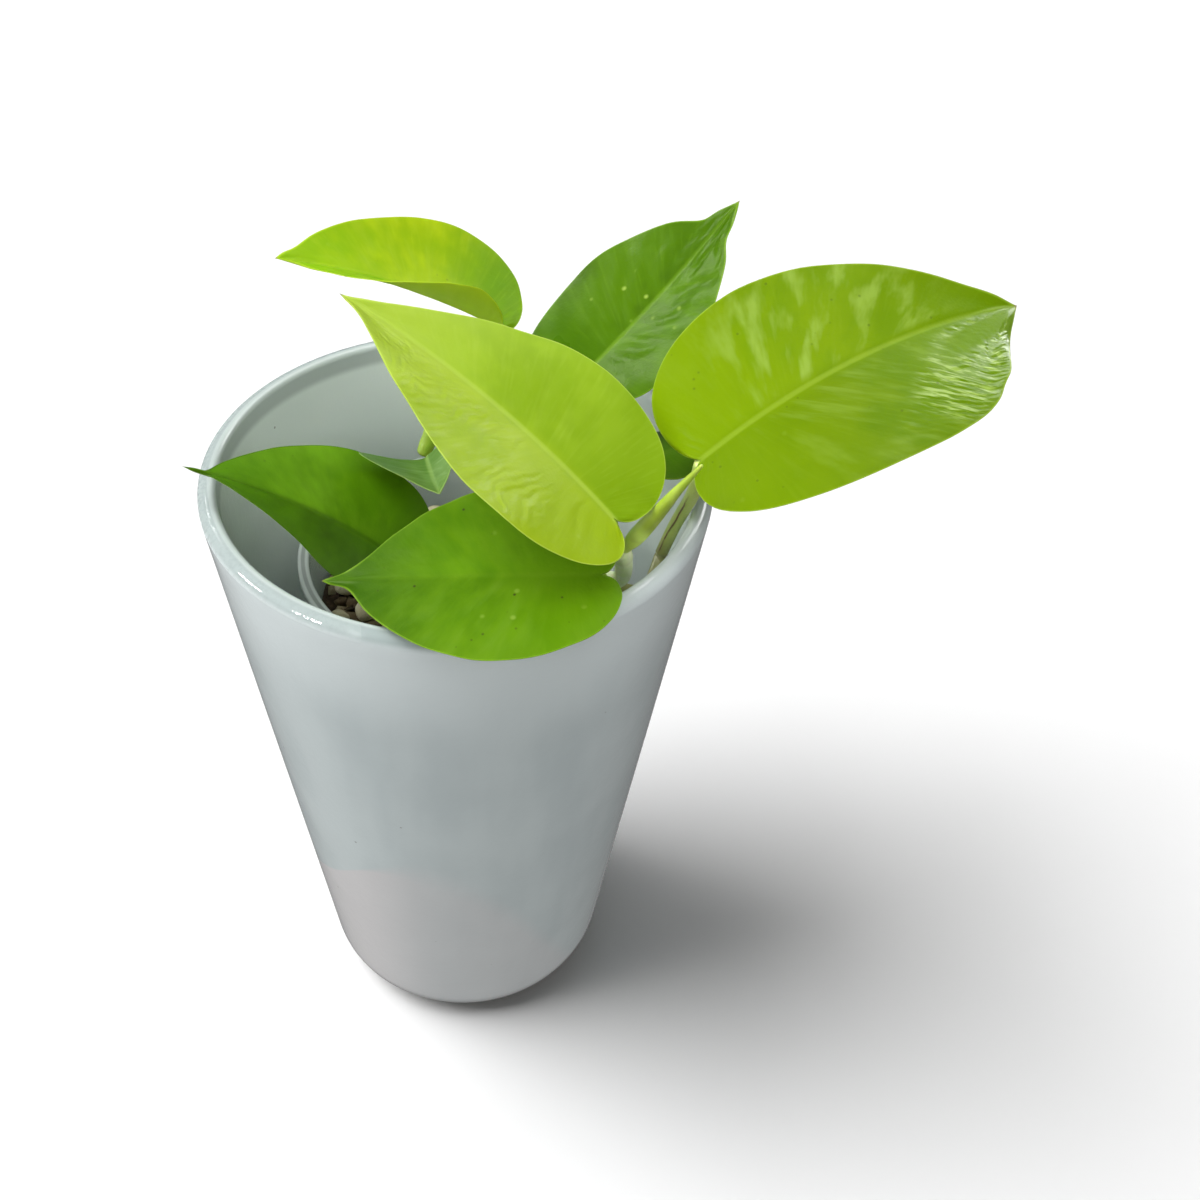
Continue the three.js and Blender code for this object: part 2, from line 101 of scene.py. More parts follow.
# %% [markdown]
# ## A short hand for shader sums
#
# A finish is worked out like a sum: a mask times a colour, a height minus a groove. The class Field
# wraps one socket of a material's nodes, so that the sum can be written as Python and each operator
# adds its own node. The class Finish is one material. Its add method makes any other node from its
# type, its settings and what its sockets hold.


# %% Field and Finish
class Field:
    """A number that varies over a surface. Sums with it add Math nodes to its material."""

    def __init__(self, finish, socket):
        self.finish = finish
        self.socket = socket

    def maths(self, operation, first, second=0.0):
        """One Math node of this operation."""
        return self.finish.add("ShaderNodeMath", {"operation": operation}, {0: first, 1: second})

    def __add__(self, other):
        return self.maths("ADD", self, other)

    def __radd__(self, other):
        return self.maths("ADD", other, self)

    def __sub__(self, other):
        return self.maths("SUBTRACT", self, other)

    def __rsub__(self, other):
        return self.maths("SUBTRACT", other, self)

    def __mul__(self, other):
        return self.maths("MULTIPLY", self, other)

    def __rmul__(self, other):
        return self.maths("MULTIPLY", other, self)

    def __truediv__(self, other):
        return self.maths("DIVIDE", self, other)

    def __rtruediv__(self, other):
        return self.maths("DIVIDE", other, self)

    def __pow__(self, other):
        return self.maths("POWER", self, other)

    def size(self):
        """Its value without the sign."""
        return self.maths("ABSOLUTE", self)

    def wave(self):
        """Its sine."""
        return self.maths("SINE", self)

    def step(self, low, high):
        """0 below low, 1 above high, and smooth between; low above high turns it round."""
        turned = low > high
        ends = {1: min(low, high), 2: max(low, high), 3: float(turned), 4: float(not turned)}
        return self.finish.add(
            "ShaderNodeMapRange", {"interpolation_type": "SMOOTHSTEP"}, {0: self, **ends})


class Nodes:
    """A node tree that is built from sums. Any node goes in through add."""

    def __init__(self, tree):
        self.tree = tree

    def add(self, kind, settings, sockets, output=0):
        """Adds a node: settings, then the value or link of each socket. Returns one output."""
        node = self.tree.nodes.new(kind)
        for name, value in settings.items():
            if name == "stops":
                self.set_stops(node.color_ramp, value)
            else:
                setattr(node, name, value)
        for key, value in sockets.items():
            self.feed(node.inputs[key], value)
        return Field(self, node.outputs[output])

    @staticmethod
    def set_stops(ramp, stops):
        """Gives a ramp these (place, colour) stops, in rising order."""
        while len(ramp.elements) > 1:
            ramp.elements.remove(ramp.elements[-1])
        for i, (place, colour) in enumerate(stops):
            element = ramp.elements[0] if i == 0 else ramp.elements.new(place)
            element.position = place
            element.color = (*colour, 1)

    def feed(self, socket, value):
        """Links a field to a socket, or sets the socket to a number or colour."""
        if isinstance(value, Field):
            self.tree.links.new(value.socket, socket)
        elif isinstance(value, tuple) and len(value) == 3 and socket.type == "RGBA":
            socket.default_value = (*value, 1)
        else:
            socket.default_value = value

    def parts(self, vector):
        """The x, y and z of a vector, as three fields."""
        split = self.tree.nodes.new("ShaderNodeSeparateXYZ")
        self.feed(split.inputs[0], vector)
        return [Field(self, split.outputs[i]) for i in range(3)]

    def vector(self, x, y, z):
        """A vector from three fields or numbers."""
        return self.add("ShaderNodeCombineXYZ", {}, {0: x, 1: y, 2: z})

    def mix(self, factor, first, second):
        """Colours: first where factor is 0, second where it is 1."""
        return self.add("ShaderNodeMix", {"data_type": "RGBA"}, {0: factor, 6: first, 7: second}, 2)

    def ramp(self, factor, stops):
        """The colour of the (place, colour) stops at factor."""
        return self.add("ShaderNodeValToRGB", {"stops": stops}, {0: factor}, "Color")


class Finish(Nodes):
    """One material: its nodes and Principled shader, whose even values are set by socket name."""

    def __init__(self, name, even):
        self.material = bpy.data.materials.new(name)
        self.material.use_nodes = True
        super().__init__(self.material.node_tree)
        self.shader = self.tree.nodes["Principled BSDF"]
        for socket, value in even.items():
            self.shader.inputs[socket].default_value = value

    def place(self):
        """Object coordinates, in metres."""
        return self.add("ShaderNodeTexCoord", {}, {}, "Object")

    def attribute(self, name, output="Fac"):
        """What the mesh holds at each vertex under this name."""
        return self.add("ShaderNodeAttribute", {"attribute_name": name}, {}, output)

    def noise(self, where, scale, detail=2.0, roughness=0.5):
        """A random cloud, near 0 to 1: scale is its cells to the metre, detail its octaves."""
        sockets = {"Vector": where, "Scale": scale, "Detail": detail, "Roughness": roughness}
        return self.add("ShaderNodeTexNoise", {}, sockets)

    def dots(self, where, scale):
        """Distance to the nearest of many scattered points, in cells."""
        return self.add("ShaderNodeTexVoronoi", {}, {"Vector": where, "Scale": scale}, "Distance")

    def colour(self, value):
        """Sets the base colour."""
        self.feed(self.shader.inputs["Base Color"], value)

    def roughness(self, value):
        """Sets the roughness: 0 is a mirror, 1 is chalk."""
        self.feed(self.shader.inputs["Roughness"], value)

    def bump(self, height, distance):
        """Tilts the surface as if it stood out by height times distance, in metres."""
        normal = self.add("ShaderNodeBump", {}, {"Distance": distance, "Height": height}, "Normal")
        self.feed(self.shader.inputs["Normal"], normal)


print("shader helpers ready")

# %% [markdown]
# ## The studio
#
# The photograph has a white ground with one soft shadow to the right of the planter. A wide pale
# floor catches that shadow. Shading and gloss are lit apart, so that each can be set by itself. A
# broad window high on the left does most of the shading. Five weak fills brighten the planter and
# the plant and pass the floor by, and one glow lights the floor alone, so that its shadow is as
# soft and as dark as the real one. The gloss comes from small windows: two on the left draw the
# glints on the rim, and four behind and above put the sheen on the leaves. The sky is brighter
# overhead than at the horizon. The floor is kept from lighting the planter from below, because so
# wide a white floor would wash out the soft shading of its side.

# %% Floor, sky and windows
FLOOR_HALF = 4.0  # metres
FLOOR_DROP = 0.0002  # the floor lies this far below the foot
FILL_DISTANCE = 3  # metres from what the windows face
GLINT_DISTANCE = 1.6
AIM = Vector((0.02, 0, 0.17))  # what every window faces
FILLS = [
    ("fill_left", (-0.96, -0.2, 0.12), (2, 2), 0.34),
    ("fill_front_left", (-0.47, -0.8, 0.38), (2, 1.5), 0.27),
    ("fill_front_right", (0.82, -0.38, 0.42), (1.5, 1.5), 0.27),
    ("fill_overhead", (0.14, -0.2, 0.97), (1.8, 1.8), 0.44),
    ("fill_camera", (-0.1, -0.75, 0.65), (1.2, 1.2), 0.13),
]  # name, direction, size in metres, strength
GLINTS = [
    ("glint_far_left", (-0.93, 0.03, 0.37), (0.28, 0.26), 1.0),
    ("glint_left", (-0.79, -0.37, 0.43), (0.42, 0.36), 1.5),
    ("sheen_back_right", (0.34, 0.45, 0.83), (0.5, 1.15), 0.3),
    ("sheen_back_left", (-0.54, 0.62, 0.57), (0.4, 0.3), 0.12),
    ("sheen_low_right", (0.63, 0.62, 0.46), (0.4, 0.4), 0.16),
    ("sheen_above", (0.05, 0.24, 0.97), (0.7, 0.6), 0.1),
]


def pale_floor():
    """A flat square just below the foot, seen but not part of the object."""
    mesh = bpy.data.meshes.new("floor")
    h = FLOOR_HALF
    corners = [(-h, -h, -FLOOR_DROP), (h, -h, -FLOOR_DROP),
               (h, h, -FLOOR_DROP), (-h, h, -FLOOR_DROP)]
    mesh.from_pydata(corners, [], [(0, 1, 2, 3)])
    floor = bpy.data.objects.new("floor", mesh)
    bpy.context.scene.collection.objects.link(floor)
    floor.visible_diffuse = False
    floor.visible_glossy = False
    even = {"Base Color": (0.95, 0.95, 0.95, 1), "Roughness": 0.9, "Specular IOR Level": 0.1}
    mesh.materials.append(Finish("floor_white", even).material)
    return floor


def graded_sky(ground, horizon, overhead):
    """A grey-white sky whose brightness goes from ground through horizon to overhead."""
    world = bpy.data.worlds.new("sky")
    bpy.context.scene.world = world
    world.use_nodes = True
    sky = Nodes(world.node_tree)
    height = sky.parts(sky.add("ShaderNodeTexCoord", {}, {}, "Generated"))[2]
    greys = [(0.0, ground), (0.48, ground), (0.52, horizon), (1.0, overhead)]
    stops = [(place, (grey, grey, grey)) for place, grey in greys]
    sky.feed(world.node_tree.nodes["Background"].inputs["Color"],
             sky.ramp(height * 0.5 + 0.5, stops))


def soft_window(name, direction, distance, size, strength, gloss_only=False, shade_only=False):
    """An area light facing the plant. Strength is the light it sends there, 1 for a lit white."""
    lamp = bpy.data.lights.new(name, "AREA")
    lamp.shape = "RECTANGLE"
    lamp.size, lamp.size_y = size
    lamp.energy = strength * np.pi ** 2 * distance ** 2
    window = bpy.data.objects.new(name, lamp)
    way = Vector(direction).normalized()
    window.location = AIM + way * distance
    window.rotation_euler = way.to_track_quat("Z", "Y").to_euler()
    window.visible_diffuse = not gloss_only
    window.visible_glossy = not shade_only
    window.visible_camera = False
    bpy.context.scene.collection.objects.link(window)
    return window


floor = pale_floor()
not_floor = bpy.data.collections.new("all_but_the_floor")
not_floor.objects.link(floor)
not_floor.collection_objects[0].light_linking.link_state = "EXCLUDE"
floor_only = bpy.data.collections.new("the_floor_alone")
floor_only.objects.link(floor)
graded_sky(ground=0.2, horizon=0.07, overhead=0.13)
soft_window("window_left", (-0.57, 0.06, 0.82), distance=12, size=(9, 9), strength=1.22,
            shade_only=True)
floor_glow = soft_window("glow_on_floor", (-0.2, 0.1, 0.97), FILL_DISTANCE, size=(2, 2),
                         strength=0.32, shade_only=True)
floor_glow.light_linking.receiver_collection = floor_only
for name, direction, size, strength in FILLS:
    fill = soft_window(name, direction, FILL_DISTANCE, size, strength, shade_only=True)
    fill.light_linking.receiver_collection = not_floor
for name, direction, size, strength in GLINTS:
    soft_window(name, direction, GLINT_DISTANCE, size, strength, gloss_only=True)
bpy.context.scene.view_settings.view_transform = "Standard"

# %% [markdown]
# ## A skin over rings
#
# Nearly every piece here is closed and has two ends: a planter turned on a wheel, a stem, a stone,
# even a leaf blade, which is a very flat tube. So one helper covers them all. It takes an array of
# rings, stations by points round, whose first and last rings have shrunk to a point, and it closes
# them with a fan of triangles.


# %% From rings to a mesh
def skin(name, rings, fields=None):
    """A closed mesh from rings, an array (stations, around, 3) in millimetres.

    The first and last rings are single points. fields are named arrays (stations, around) or
    (stations, around, 3), kept as attributes for the finish. The UV map runs round, then along.
    """
    stations, around = rings.shape[:2]
    points = one_list(rings) * MM
    last = len(points) - 1
    column = np.arange(around)
    following = (column + 1) % around
    here = 1 + np.arange(stations - 3)[:, None] * around
    beyond = here + around
    quads = np.stack([here + column, here + following, beyond + following, beyond + column], -1)
    end_row = last - around
    start = np.stack([np.zeros_like(column), following + 1, column + 1], -1)
    end = np.stack([np.full_like(column, last), end_row + column, end_row + following], -1)
    if volume_of(points, quads.reshape(-1, 4)) < 0:
        quads = quads[..., ::-1]
        start = start[:, ::-1]
        end = end[:, ::-1]
    loops = np.concatenate([quads.reshape(-1), start.reshape(-1), end.reshape(-1)])
    sizes = np.concatenate([np.full(quads.size // 4, 4), np.full(2 * around, 3)])
    mesh = fill_mesh(name, points, loops, sizes)
    add_round_uv(mesh, loops, sizes, stations, around)
    for field, values in (fields or {}).items():
        keep_field(mesh, field, one_list(values))
    return finish_piece(name, mesh)


def one_list(rings):
    """Values on rings as one list; the first and last rings are points and are taken once each."""
    return np.concatenate([rings[0, :1], rings[1:-1].reshape(-1, *rings.shape[2:]), rings[-1, :1]])


def volume_of(points, quads):
    """Six times the volume inside a closed skin of quads, above 0 when they face outwards."""
    a, b, c, d = (points[quads[:, i]] for i in range(4))
    return np.sum(np.cross(a, b) * c) + np.sum(np.cross(a, c) * d)


def fill_mesh(name, points, loops, sizes):
    """Puts points and faces into a smooth-shaded mesh, whole arrays at a time."""
    mesh = bpy.data.meshes.new(name)
    mesh.vertices.add(len(points))
    mesh.vertices.foreach_set("co", points.astype(np.float32).ravel())
    mesh.loops.add(len(loops))
    mesh.loops.foreach_set("vertex_index", loops.astype(np.int32))
    mesh.polygons.add(len(sizes))
    starts = np.concatenate([[0], np.cumsum(sizes)[:-1]])
    mesh.polygons.foreach_set("loop_start", starts.astype(np.int32))
    mesh.polygons.foreach_set("use_smooth", np.ones(len(sizes), bool))
    mesh.update(calc_edges=True)
    mesh.validate()
    return mesh


def add_round_uv(mesh, loops, sizes, stations, around):
    """u runs from 0 to 1 round the piece and v along it, with no jump back at the seam."""
    last = loops.max()
    place = np.clip(loops - 1, 0, None)
    u = (place % around) / around
    v = (1 + place // around) / (stations - 1)
    v = np.where(loops == 0, 0, np.where(loops == last, 1, v))
    face = np.repeat(np.arange(len(sizes)), sizes)
    highest = np.zeros(len(sizes))
    np.maximum.at(highest, face, u)
    u = np.where((u == 0) & (highest[face] > 0.5), 1.0, u)
    layer = mesh.uv_layers.new(name="round_and_along")
    layer.data.foreach_set("uv", np.stack([u, v], -1).astype(np.float32).ravel())


def keep_field(mesh, name, values):
    """Stores one number, or three, at each vertex for the finish to read."""
    kind = "FLOAT_VECTOR" if values.ndim == 2 else "FLOAT"
    key = "vector" if values.ndim == 2 else "value"
    layer = mesh.attributes.new(name, kind, "POINT")
    layer.data.foreach_set(key, values.astype(np.float32).ravel())


def finish_piece(name, mesh):
    """Links the piece and lets it ride on the frame."""
    piece = bpy.data.objects.new(name, mesh)
    bpy.context.scene.collection.objects.link(piece)
    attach(piece, "root")
    return piece


def dress(piece, finish):
    """Gives a piece its finish."""
    piece.data.materials.clear()
    piece.data.materials.append(finish.material)


print("mesh helpers ready")

# %% [markdown]
# ## The planter
#
# A slip-cast stoneware planter: one wall with a soft foot and a rounded lip, glazed all over but
# for the foot it was fired on. It could be sculpted, but it was thrown or cast round, so a profile
# turned about the axis is the true way to make it. The profile is a few straight runs joined by
# arcs, sampled closely enough for the gloss to run without facets.

# %% The planter's profile
# rim and base are outer radii; the arcs and the lip are the radii of roundings
PLANTER = {"rim": 60, "base": 39, "wall": 4.5, "floor": 6, "foot_arc": 14, "lip_out": 2.6,
           "lip_in": 1.6, "inner_arc": 8}
ROUND_STEPS = 192  # points round the planter


def planter_side(height):
    """The outer radius of the straight side at a height."""
    return PLANTER["base"] + (PLANTER["rim"] - PLANTER["base"]) * height / PLANTER_HEIGHT


def arc(centre, radius, start, end, steps):
    """Points on a circle round centre from one angle to another, in degrees, both ends included."""
    angle = np.radians(np.linspace(start, end, steps + 1))
    return np.stack([centre[0] + radius * np.cos(angle), centre[1] + radius * np.sin(angle)], -1)


def straight(start, end, steps):
    """Evenly spaced points from start to end, without the ends themselves."""
    share = np.linspace(0, 1, steps + 2)[1:-1, None]
    return np.array(start) * (1 - share) + np.array(end) * share


def turned(profile, around):
    """Rings about the upright axis from (radius, height) points that start and end on it."""
    angle = 2 * np.pi * np.arange(around) / around
    radius, height = profile[:, :1], profile[:, 1:]
    across = np.broadcast_to(height, (len(profile), around))
    return np.stack([radius * np.cos(angle), radius * np.sin(angle), across], -1)


def planter_profile():
    """Foot, outer side, lip, inner side and floor: arcs meet the straight runs with no corner."""
    p = PLANTER
    slope = (p["rim"] - p["base"]) / PLANTER_HEIGHT
    lean = np.degrees(np.arctan(slope))
    stretch = np.hypot(1, slope)
    foot = (planter_side(p["foot_arc"]) - p["foot_arc"] * stretch, p["foot_arc"])
    inner_height = p["floor"] + p["inner_arc"]
    inner = (planter_side(inner_height) - p["wall"] - p["inner_arc"] * stretch, inner_height)
    out_height = PLANTER_HEIGHT - p["lip_out"]
    in_height = PLANTER_HEIGHT - p["lip_in"]
    lip_out = (planter_side(out_height) - p["lip_out"] * stretch, out_height)
    lip_in = (planter_side(in_height) - p["wall"] + p["lip_in"] * stretch, in_height)
    foot_arc = arc(foot, p["foot_arc"], -90, -lean, 18)
    outer_lip = arc(lip_out, p["lip_out"], -lean, 90, 12)
    inner_lip = arc(lip_in, p["lip_in"], 90, 180 - lean, 10)
    inner_arc = arc(inner, p["inner_arc"], -lean, -90, 12)
    return np.concatenate([
        [[0, 0]],
        straight((0, 0), foot_arc[0], 6),
        foot_arc,
        straight(foot_arc[-1], outer_lip[0], 40),
        outer_lip,
        inner_lip,
        straight(inner_lip[-1], inner_arc[0], 30),
        inner_arc,
        straight(inner_arc[-1], (0, p["floor"]), 6),
        [[0, p["floor"]]],
    ])


planter = skin("planter_body", turned(planter_profile(), ROUND_STEPS))
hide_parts("planter")
print("planter faces:", len(planter.data.polygons))

# %% [markdown]
# ## The glaze
#
# The glaze is cool grey-white and glassy. Its colour holds painted light: paler near the rim and
# paler still inside. Seen close, its gloss is broken by the faint dimples of the clay under it and
# by a few pinholes. On the left of the lip it is finely pitted, so the glints there break up into
# specks: a dull glaze under a coat that shines only between the pits. The lip is painted darker on
# its left as shade and paler on its right as light. Towards the foot, a warmer tone below a wavy
# line is a painted reflection of the floor, and a dark band just above the foot is a painted
# shadow. The flat foot is bare clay.

# %% Glaze finish
GLAZE_COOL = (0.53, 0.595, 0.6)
GLAZE_PALE = (0.6, 0.665, 0.665)
FLOOR_REFLECTION_TONE = (0.67, 0.66, 0.66)
INSIDE_PAINTED_LIGHT = (0.79, 0.88, 0.84)
LIP_PAINTED_SHADE = (0.25, 0.3, 0.29)
RIM_PAINTED_LIGHT = (0.76, 0.83, 0.83)
FOOT_PAINTED_SHADOW = (0.16, 0.13, 0.11)  # painted shadow: a dark brown band just above the foot
BARE_CLAY = (0.5, 0.43, 0.36)
PINHOLE = (0.2, 0.19, 0.17)
FLOOR_REFLECTION_TOP = (-0.013, 0.08)  # metres: where the painted floor reflection's wavy edge stands highest
FLOOR_REFLECTION_FALL = 36  # how fast it falls to both sides, per metre
PALER_UP = (0.135, 0.168)  # this and the next four: heights in metres between which it changes
LIP_TONE = (0.1718, 0.174)
PITTED_FROM = (0.172, 0.1732)
FOOT_SHADOW_EDGE = (0.0062, 0.0036)
FOOT_EDGE = (0.0006, 0.0002)
PITTED_LEFT_OF = (-0.018, -0.026)  # metres along x
INSIDE = (0.12, 0.0366, 0.0356)  # the wall's slope, and radii at height 0 where the inside starts


def glaze_finish():
    """Glaze runs, pinholes, a pitted left lip, bare foot; painted light, shade and a reflection."""
    glaze = Finish("grey_white_glaze",
                   {"Specular IOR Level": 0.5, "IOR": 1.5, "Coat Roughness": 0.05})
    place = glaze.place()
    x, y, height = glaze.parts(place)
    drawn_out = glaze.add("ShaderNodeMapping", {}, {"Vector": place, "Scale": (1, 1, 0.2)})
    runs = glaze.noise(drawn_out, 48, 3) * 0.6 + glaze.noise(place, 22, 3) * 0.4
    body = glaze.mix(runs.step(0.4, 0.62), GLAZE_COOL, GLAZE_PALE)
    wander = glaze.noise(place, 14, 2)
    # painted reflection of the floor: a warmer tone below a wavy line, fading to the right
    aside = x - FLOOR_REFLECTION_TOP[0]
    above_reflection_edge = height + aside * aside * FLOOR_REFLECTION_FALL + (wander - 0.5) * 0.012 - FLOOR_REFLECTION_TOP[1]
    to_right = x.step(-0.03, -0.004)
    floor_reflection = (above_reflection_edge / (to_right * 0.015 + 0.001)).step(0.5, -0.5)
    body = glaze.mix(floor_reflection * (1 - to_right * 0.45), body, FLOOR_REFLECTION_TONE)
    # painted light: the outside is paler towards the rim
    body = glaze.mix(height.step(*PALER_UP) * 0.85, body, RIM_PAINTED_LIGHT)
    radius = (x * x + y * y) ** 0.5
    slope, *inside_edge = INSIDE
    inner = (radius - height * slope).step(*inside_edge)
    # painted light: the inside of the wall is paler than the outside
    body = glaze.mix(inner, body, INSIDE_PAINTED_LIGHT)
    # painted shade and light on the lip: darker on its left, paler on its right
    lip_shade_and_light = glaze.mix(x.step(0.0, 0.045), LIP_PAINTED_SHADE, GLAZE_PALE)
    on_lip = (height + inner * 0.0028).step(*LIP_TONE)
    body = glaze.mix(on_lip * (0.9 - inner * 0.35), body, lip_shade_and_light)
    pinholes = glaze.dots(place, 90).step(0.035, 0.02)
    body = glaze.mix(pinholes * 0.6, body, PINHOLE)
    # painted shadow: a dark band just above the foot, where it meets the floor
    body = glaze.mix(height.step(*FOOT_SHADOW_EDGE) * 0.75, body, FOOT_PAINTED_SHADOW)
    foot = height.step(*FOOT_EDGE)
    glaze.colour(glaze.mix(foot, body, BARE_CLAY))
    speckle = glaze.noise(place, 1500, 1, 0.6)
    pitted = height.step(*PITTED_FROM) * x.step(*PITTED_LEFT_OF) * (1 - inner)
    glaze.roughness(0.07 + glaze.noise(place, 60, 2) * 0.06 + pitted * 0.8 + foot * 0.6)
    between_pits = glaze.noise(place, 950, 2, 0.7).step(0.5, 0.55)
    glaze.feed(glaze.shader.inputs["Coat Weight"], pitted * between_pits)
    dimples = glaze.noise(place, 420, 2, 0.6)
    swell = glaze.noise(place, 45, 1)
    glaze.bump(speckle * 0.09 + dimples * 0.2 + swell + pinholes * -0.5, 0.00022)
    return glaze


dress(planter, glaze_finish())

# %% [markdown]
# ## The growing cup
#
# The plant was bought in a thin clear cup with a flat rolled lip and drain holes, and it is still
# in it. Only its lip and the inside of its far wall show, grey and a little clouded. It too is
# turned, and the drain holes are drilled with a Boolean. A clear wall is finished with Alpha,
# because it is thin and bends no light.

# %% Cup
CUP = {"bottom": 6.3, "height": 142.7, "lip_radius": 39.5, "lip_width": 2.8, "lip_depth": 2.4,
       "top": 37.7, "base": 25.5, "wall": 1.0, "floor": 1.2, "bead": 0.6, "foot_arc": 1.5}
CUP_TOP = CUP["bottom"] + CUP["height"]
DRAINS = {"radius": 2.5, "circle": 14, "count": 5, "past": 2}  # past: how far a drill goes through
CUP_TONES = ((0.52, 0.58, 0.56), (0.62, 0.68, 0.66))
CUP_LIP_FROM = (0.1455, 0.1475)  # metres: the heights between which the lip begins
LIP_EDGES = ((0.0391, 0.0006), (0.0372, 0.0007))  # metres: radius and half width of each edge


def cup_side(height):
    """The cup's outer radius at a height."""
    return CUP["base"] + (CUP["top"] - CUP["base"]) * (height - CUP["bottom"]) / CUP["height"]


def cup_profile():
    """Floor, tapered side and a flat lip with beaded edges, then back down inside."""
    c = CUP
    soft = c["foot_arc"]
    foot = arc((cup_side(c["bottom"]) - soft, c["bottom"] + soft), soft, -90, 0, 6)
    lip_bottom = CUP_TOP - c["lip_depth"]
    under = [cup_side(lip_bottom), lip_bottom]
    outer_low = arc((c["lip_radius"] - c["bead"], lip_bottom + c["bead"]), c["bead"], -90, 0, 6)
    outer_top = arc((c["lip_radius"] - c["bead"], CUP_TOP - c["bead"]), c["bead"], 0, 90, 6)
    inner_edge = c["lip_radius"] - c["lip_width"]
    inner_top = arc((inner_edge + c["bead"], CUP_TOP - c["bead"]), c["bead"], 90, 180, 6)
    inside_low = [cup_side(c["bottom"] + c["floor"]) - c["wall"], c["bottom"] + c["floor"]]
    return np.concatenate([
        [[0, c["bottom"]]],
        straight((0, c["bottom"]), foot[0], 8),
        foot,
        straight(foot[-1], under, 24),
        [under],
        outer_low,
        outer_top,
        inner_top,
        straight(inner_top[-1], inside_low, 24),
        [inside_low],
        straight(inside_low, (0, inside_low[1]), 8),
        [[0, inside_low[1]]],
    ])


def drill_drains(cup):
    """Cuts the drain holes through the cup's floor and keeps the cut mesh."""
    radius, low = DRAINS["radius"], CUP["bottom"] - DRAINS["past"]
    high = CUP["bottom"] + CUP["floor"] + DRAINS["past"]
    rod = turned(np.array([[0, low], [radius, low], [radius, high], [0, high]]), 24)
    drills = []
    for turn in 2 * np.pi * np.arange(DRAINS["count"]) / DRAINS["count"]:
        middle = np.array([np.cos(turn), np.sin(turn), 0]) * DRAINS["circle"]
        drills.append(skin("drain_drill", rod + middle))
    for drill in drills:
        cut = cup.modifiers.new("drain", "BOOLEAN")
        cut.operation = "DIFFERENCE"
        cut.object = drill
    depsgraph = bpy.context.evaluated_depsgraph_get()
    bored = bpy.data.meshes.new_from_object(cup.evaluated_get(depsgraph))
    cup.modifiers.clear()
    cup.data = bored
    for drill in drills:
        bpy.data.objects.remove(drill)
    return cup


cup = drill_drains(skin("growing_cup_clear", turned(cup_profile(), 144)))
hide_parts("growing_cup")


def cup_finish():
    """A thin clouded film, less clear on the lip and least at the lip's two edges."""
    clear = Finish("clouded_clear_plastic", {"Roughness": 0.22, "IOR": 1.46})
    place = clear.place()
    x, y, height = clear.parts(place)
    radius = (x * x + y * y) ** 0.5
    film = clear.noise(place, 60, 3)
    rim = height.step(*CUP_LIP_FROM)
    outer, inner = ((radius - edge).size().step(wide, 0.0003) for edge, wide in LIP_EDGES)
    edges = outer + inner
    clear.colour(clear.mix(film.step(0.3, 0.7), *CUP_TONES))
    clear.feed(clear.shader.inputs["Alpha"], film * 0.2 + rim * 0.12 + edges * rim * 0.45 + 0.2)
    return clear


dress(cup, cup_finish())
print("cup faces:", len(cup.data.polygons))

# %% [markdown]
# ## The growing mix
#
# Damp peat and bark fill the cup. The body of it is one soft mass with a lumpy top; loose crumbs of
# bark lie on that. The mass is a turned form whose top is lifted by a height field, and the crumbs
# are small rough solids thrown on it, some hundreds in one mesh with only a few faces each.

# %% Mix
MIX_TOP = 134
MIX_BOTTOM = 7.8
MIX_GAP = 0.35  # between the mix and the cup's wall
CRUMB_COUNT = 900
PEAT_TONES = [(0.3, (0.018, 0.012, 0.008)), (0.55, (0.06, 0.04, 0.026)),
              (0.75, (0.14, 0.095, 0.06))]
BARK_TONES = [(0.1, (0.03, 0.02, 0.011)), (0.5, (0.09, 0.064, 0.034)), (0.8, (0.2, 0.155, 0.085)),
              (0.98, (0.4, 0.36, 0.24))]


def lumps(x, y, size, seed, octaves=3):
    """A smooth random height over the plane, near -1 to 1: sines of many sizes and directions."""
    rng = np.random.default_rng(seed)
    height = np.zeros_like(x)
    for octave in range(octaves):
        turn, phase = rng.uniform(0, 2 * np.pi, (2, 5))
        wave = 2 * np.pi / (size * 0.55 ** octave)
        for a, p in zip(turn, phase):
            height += np.sin(wave * (x * np.cos(a) + y * np.sin(a)) + p) * 0.6 ** octave
    return height / (5 * sum(0.6 ** k for k in range(octaves))) * 2


def rough_ground(x, y):
    """How far the top of the mix stands up at a place: broad lumps and small ones."""
    return 0.9 * lumps(x, y, 14, 3) + 0.35 * lumps(x, y, 3.5, 4)


def mix_rings():
    """The mass of the mix: the cup's inside, with a lumpy top."""
    height = np.linspace(MIX_BOTTOM, MIX_TOP - 1.2, 30)
    side = np.stack([cup_side(height) - CUP["wall"] - MIX_GAP, height], -1)
    reach = (cup_side(MIX_TOP) - CUP["wall"] - MIX_GAP) * np.linspace(0.985, 0, 46)
    top = np.stack([reach, np.full_like(reach, MIX_TOP)], -1)
    profile = np.concatenate([[[0, MIX_BOTTOM]], straight((0, MIX_BOTTOM), side[0], 6), side, top])
    rings = turned(profile, 120)
    lifted = rings[-len(top):]
    lift = rough_ground(lifted[..., 0], lifted[..., 1]) - 0.2
    lift[-1] = lift[-1, 0]
    lifted[..., 2] += lift
    return rings


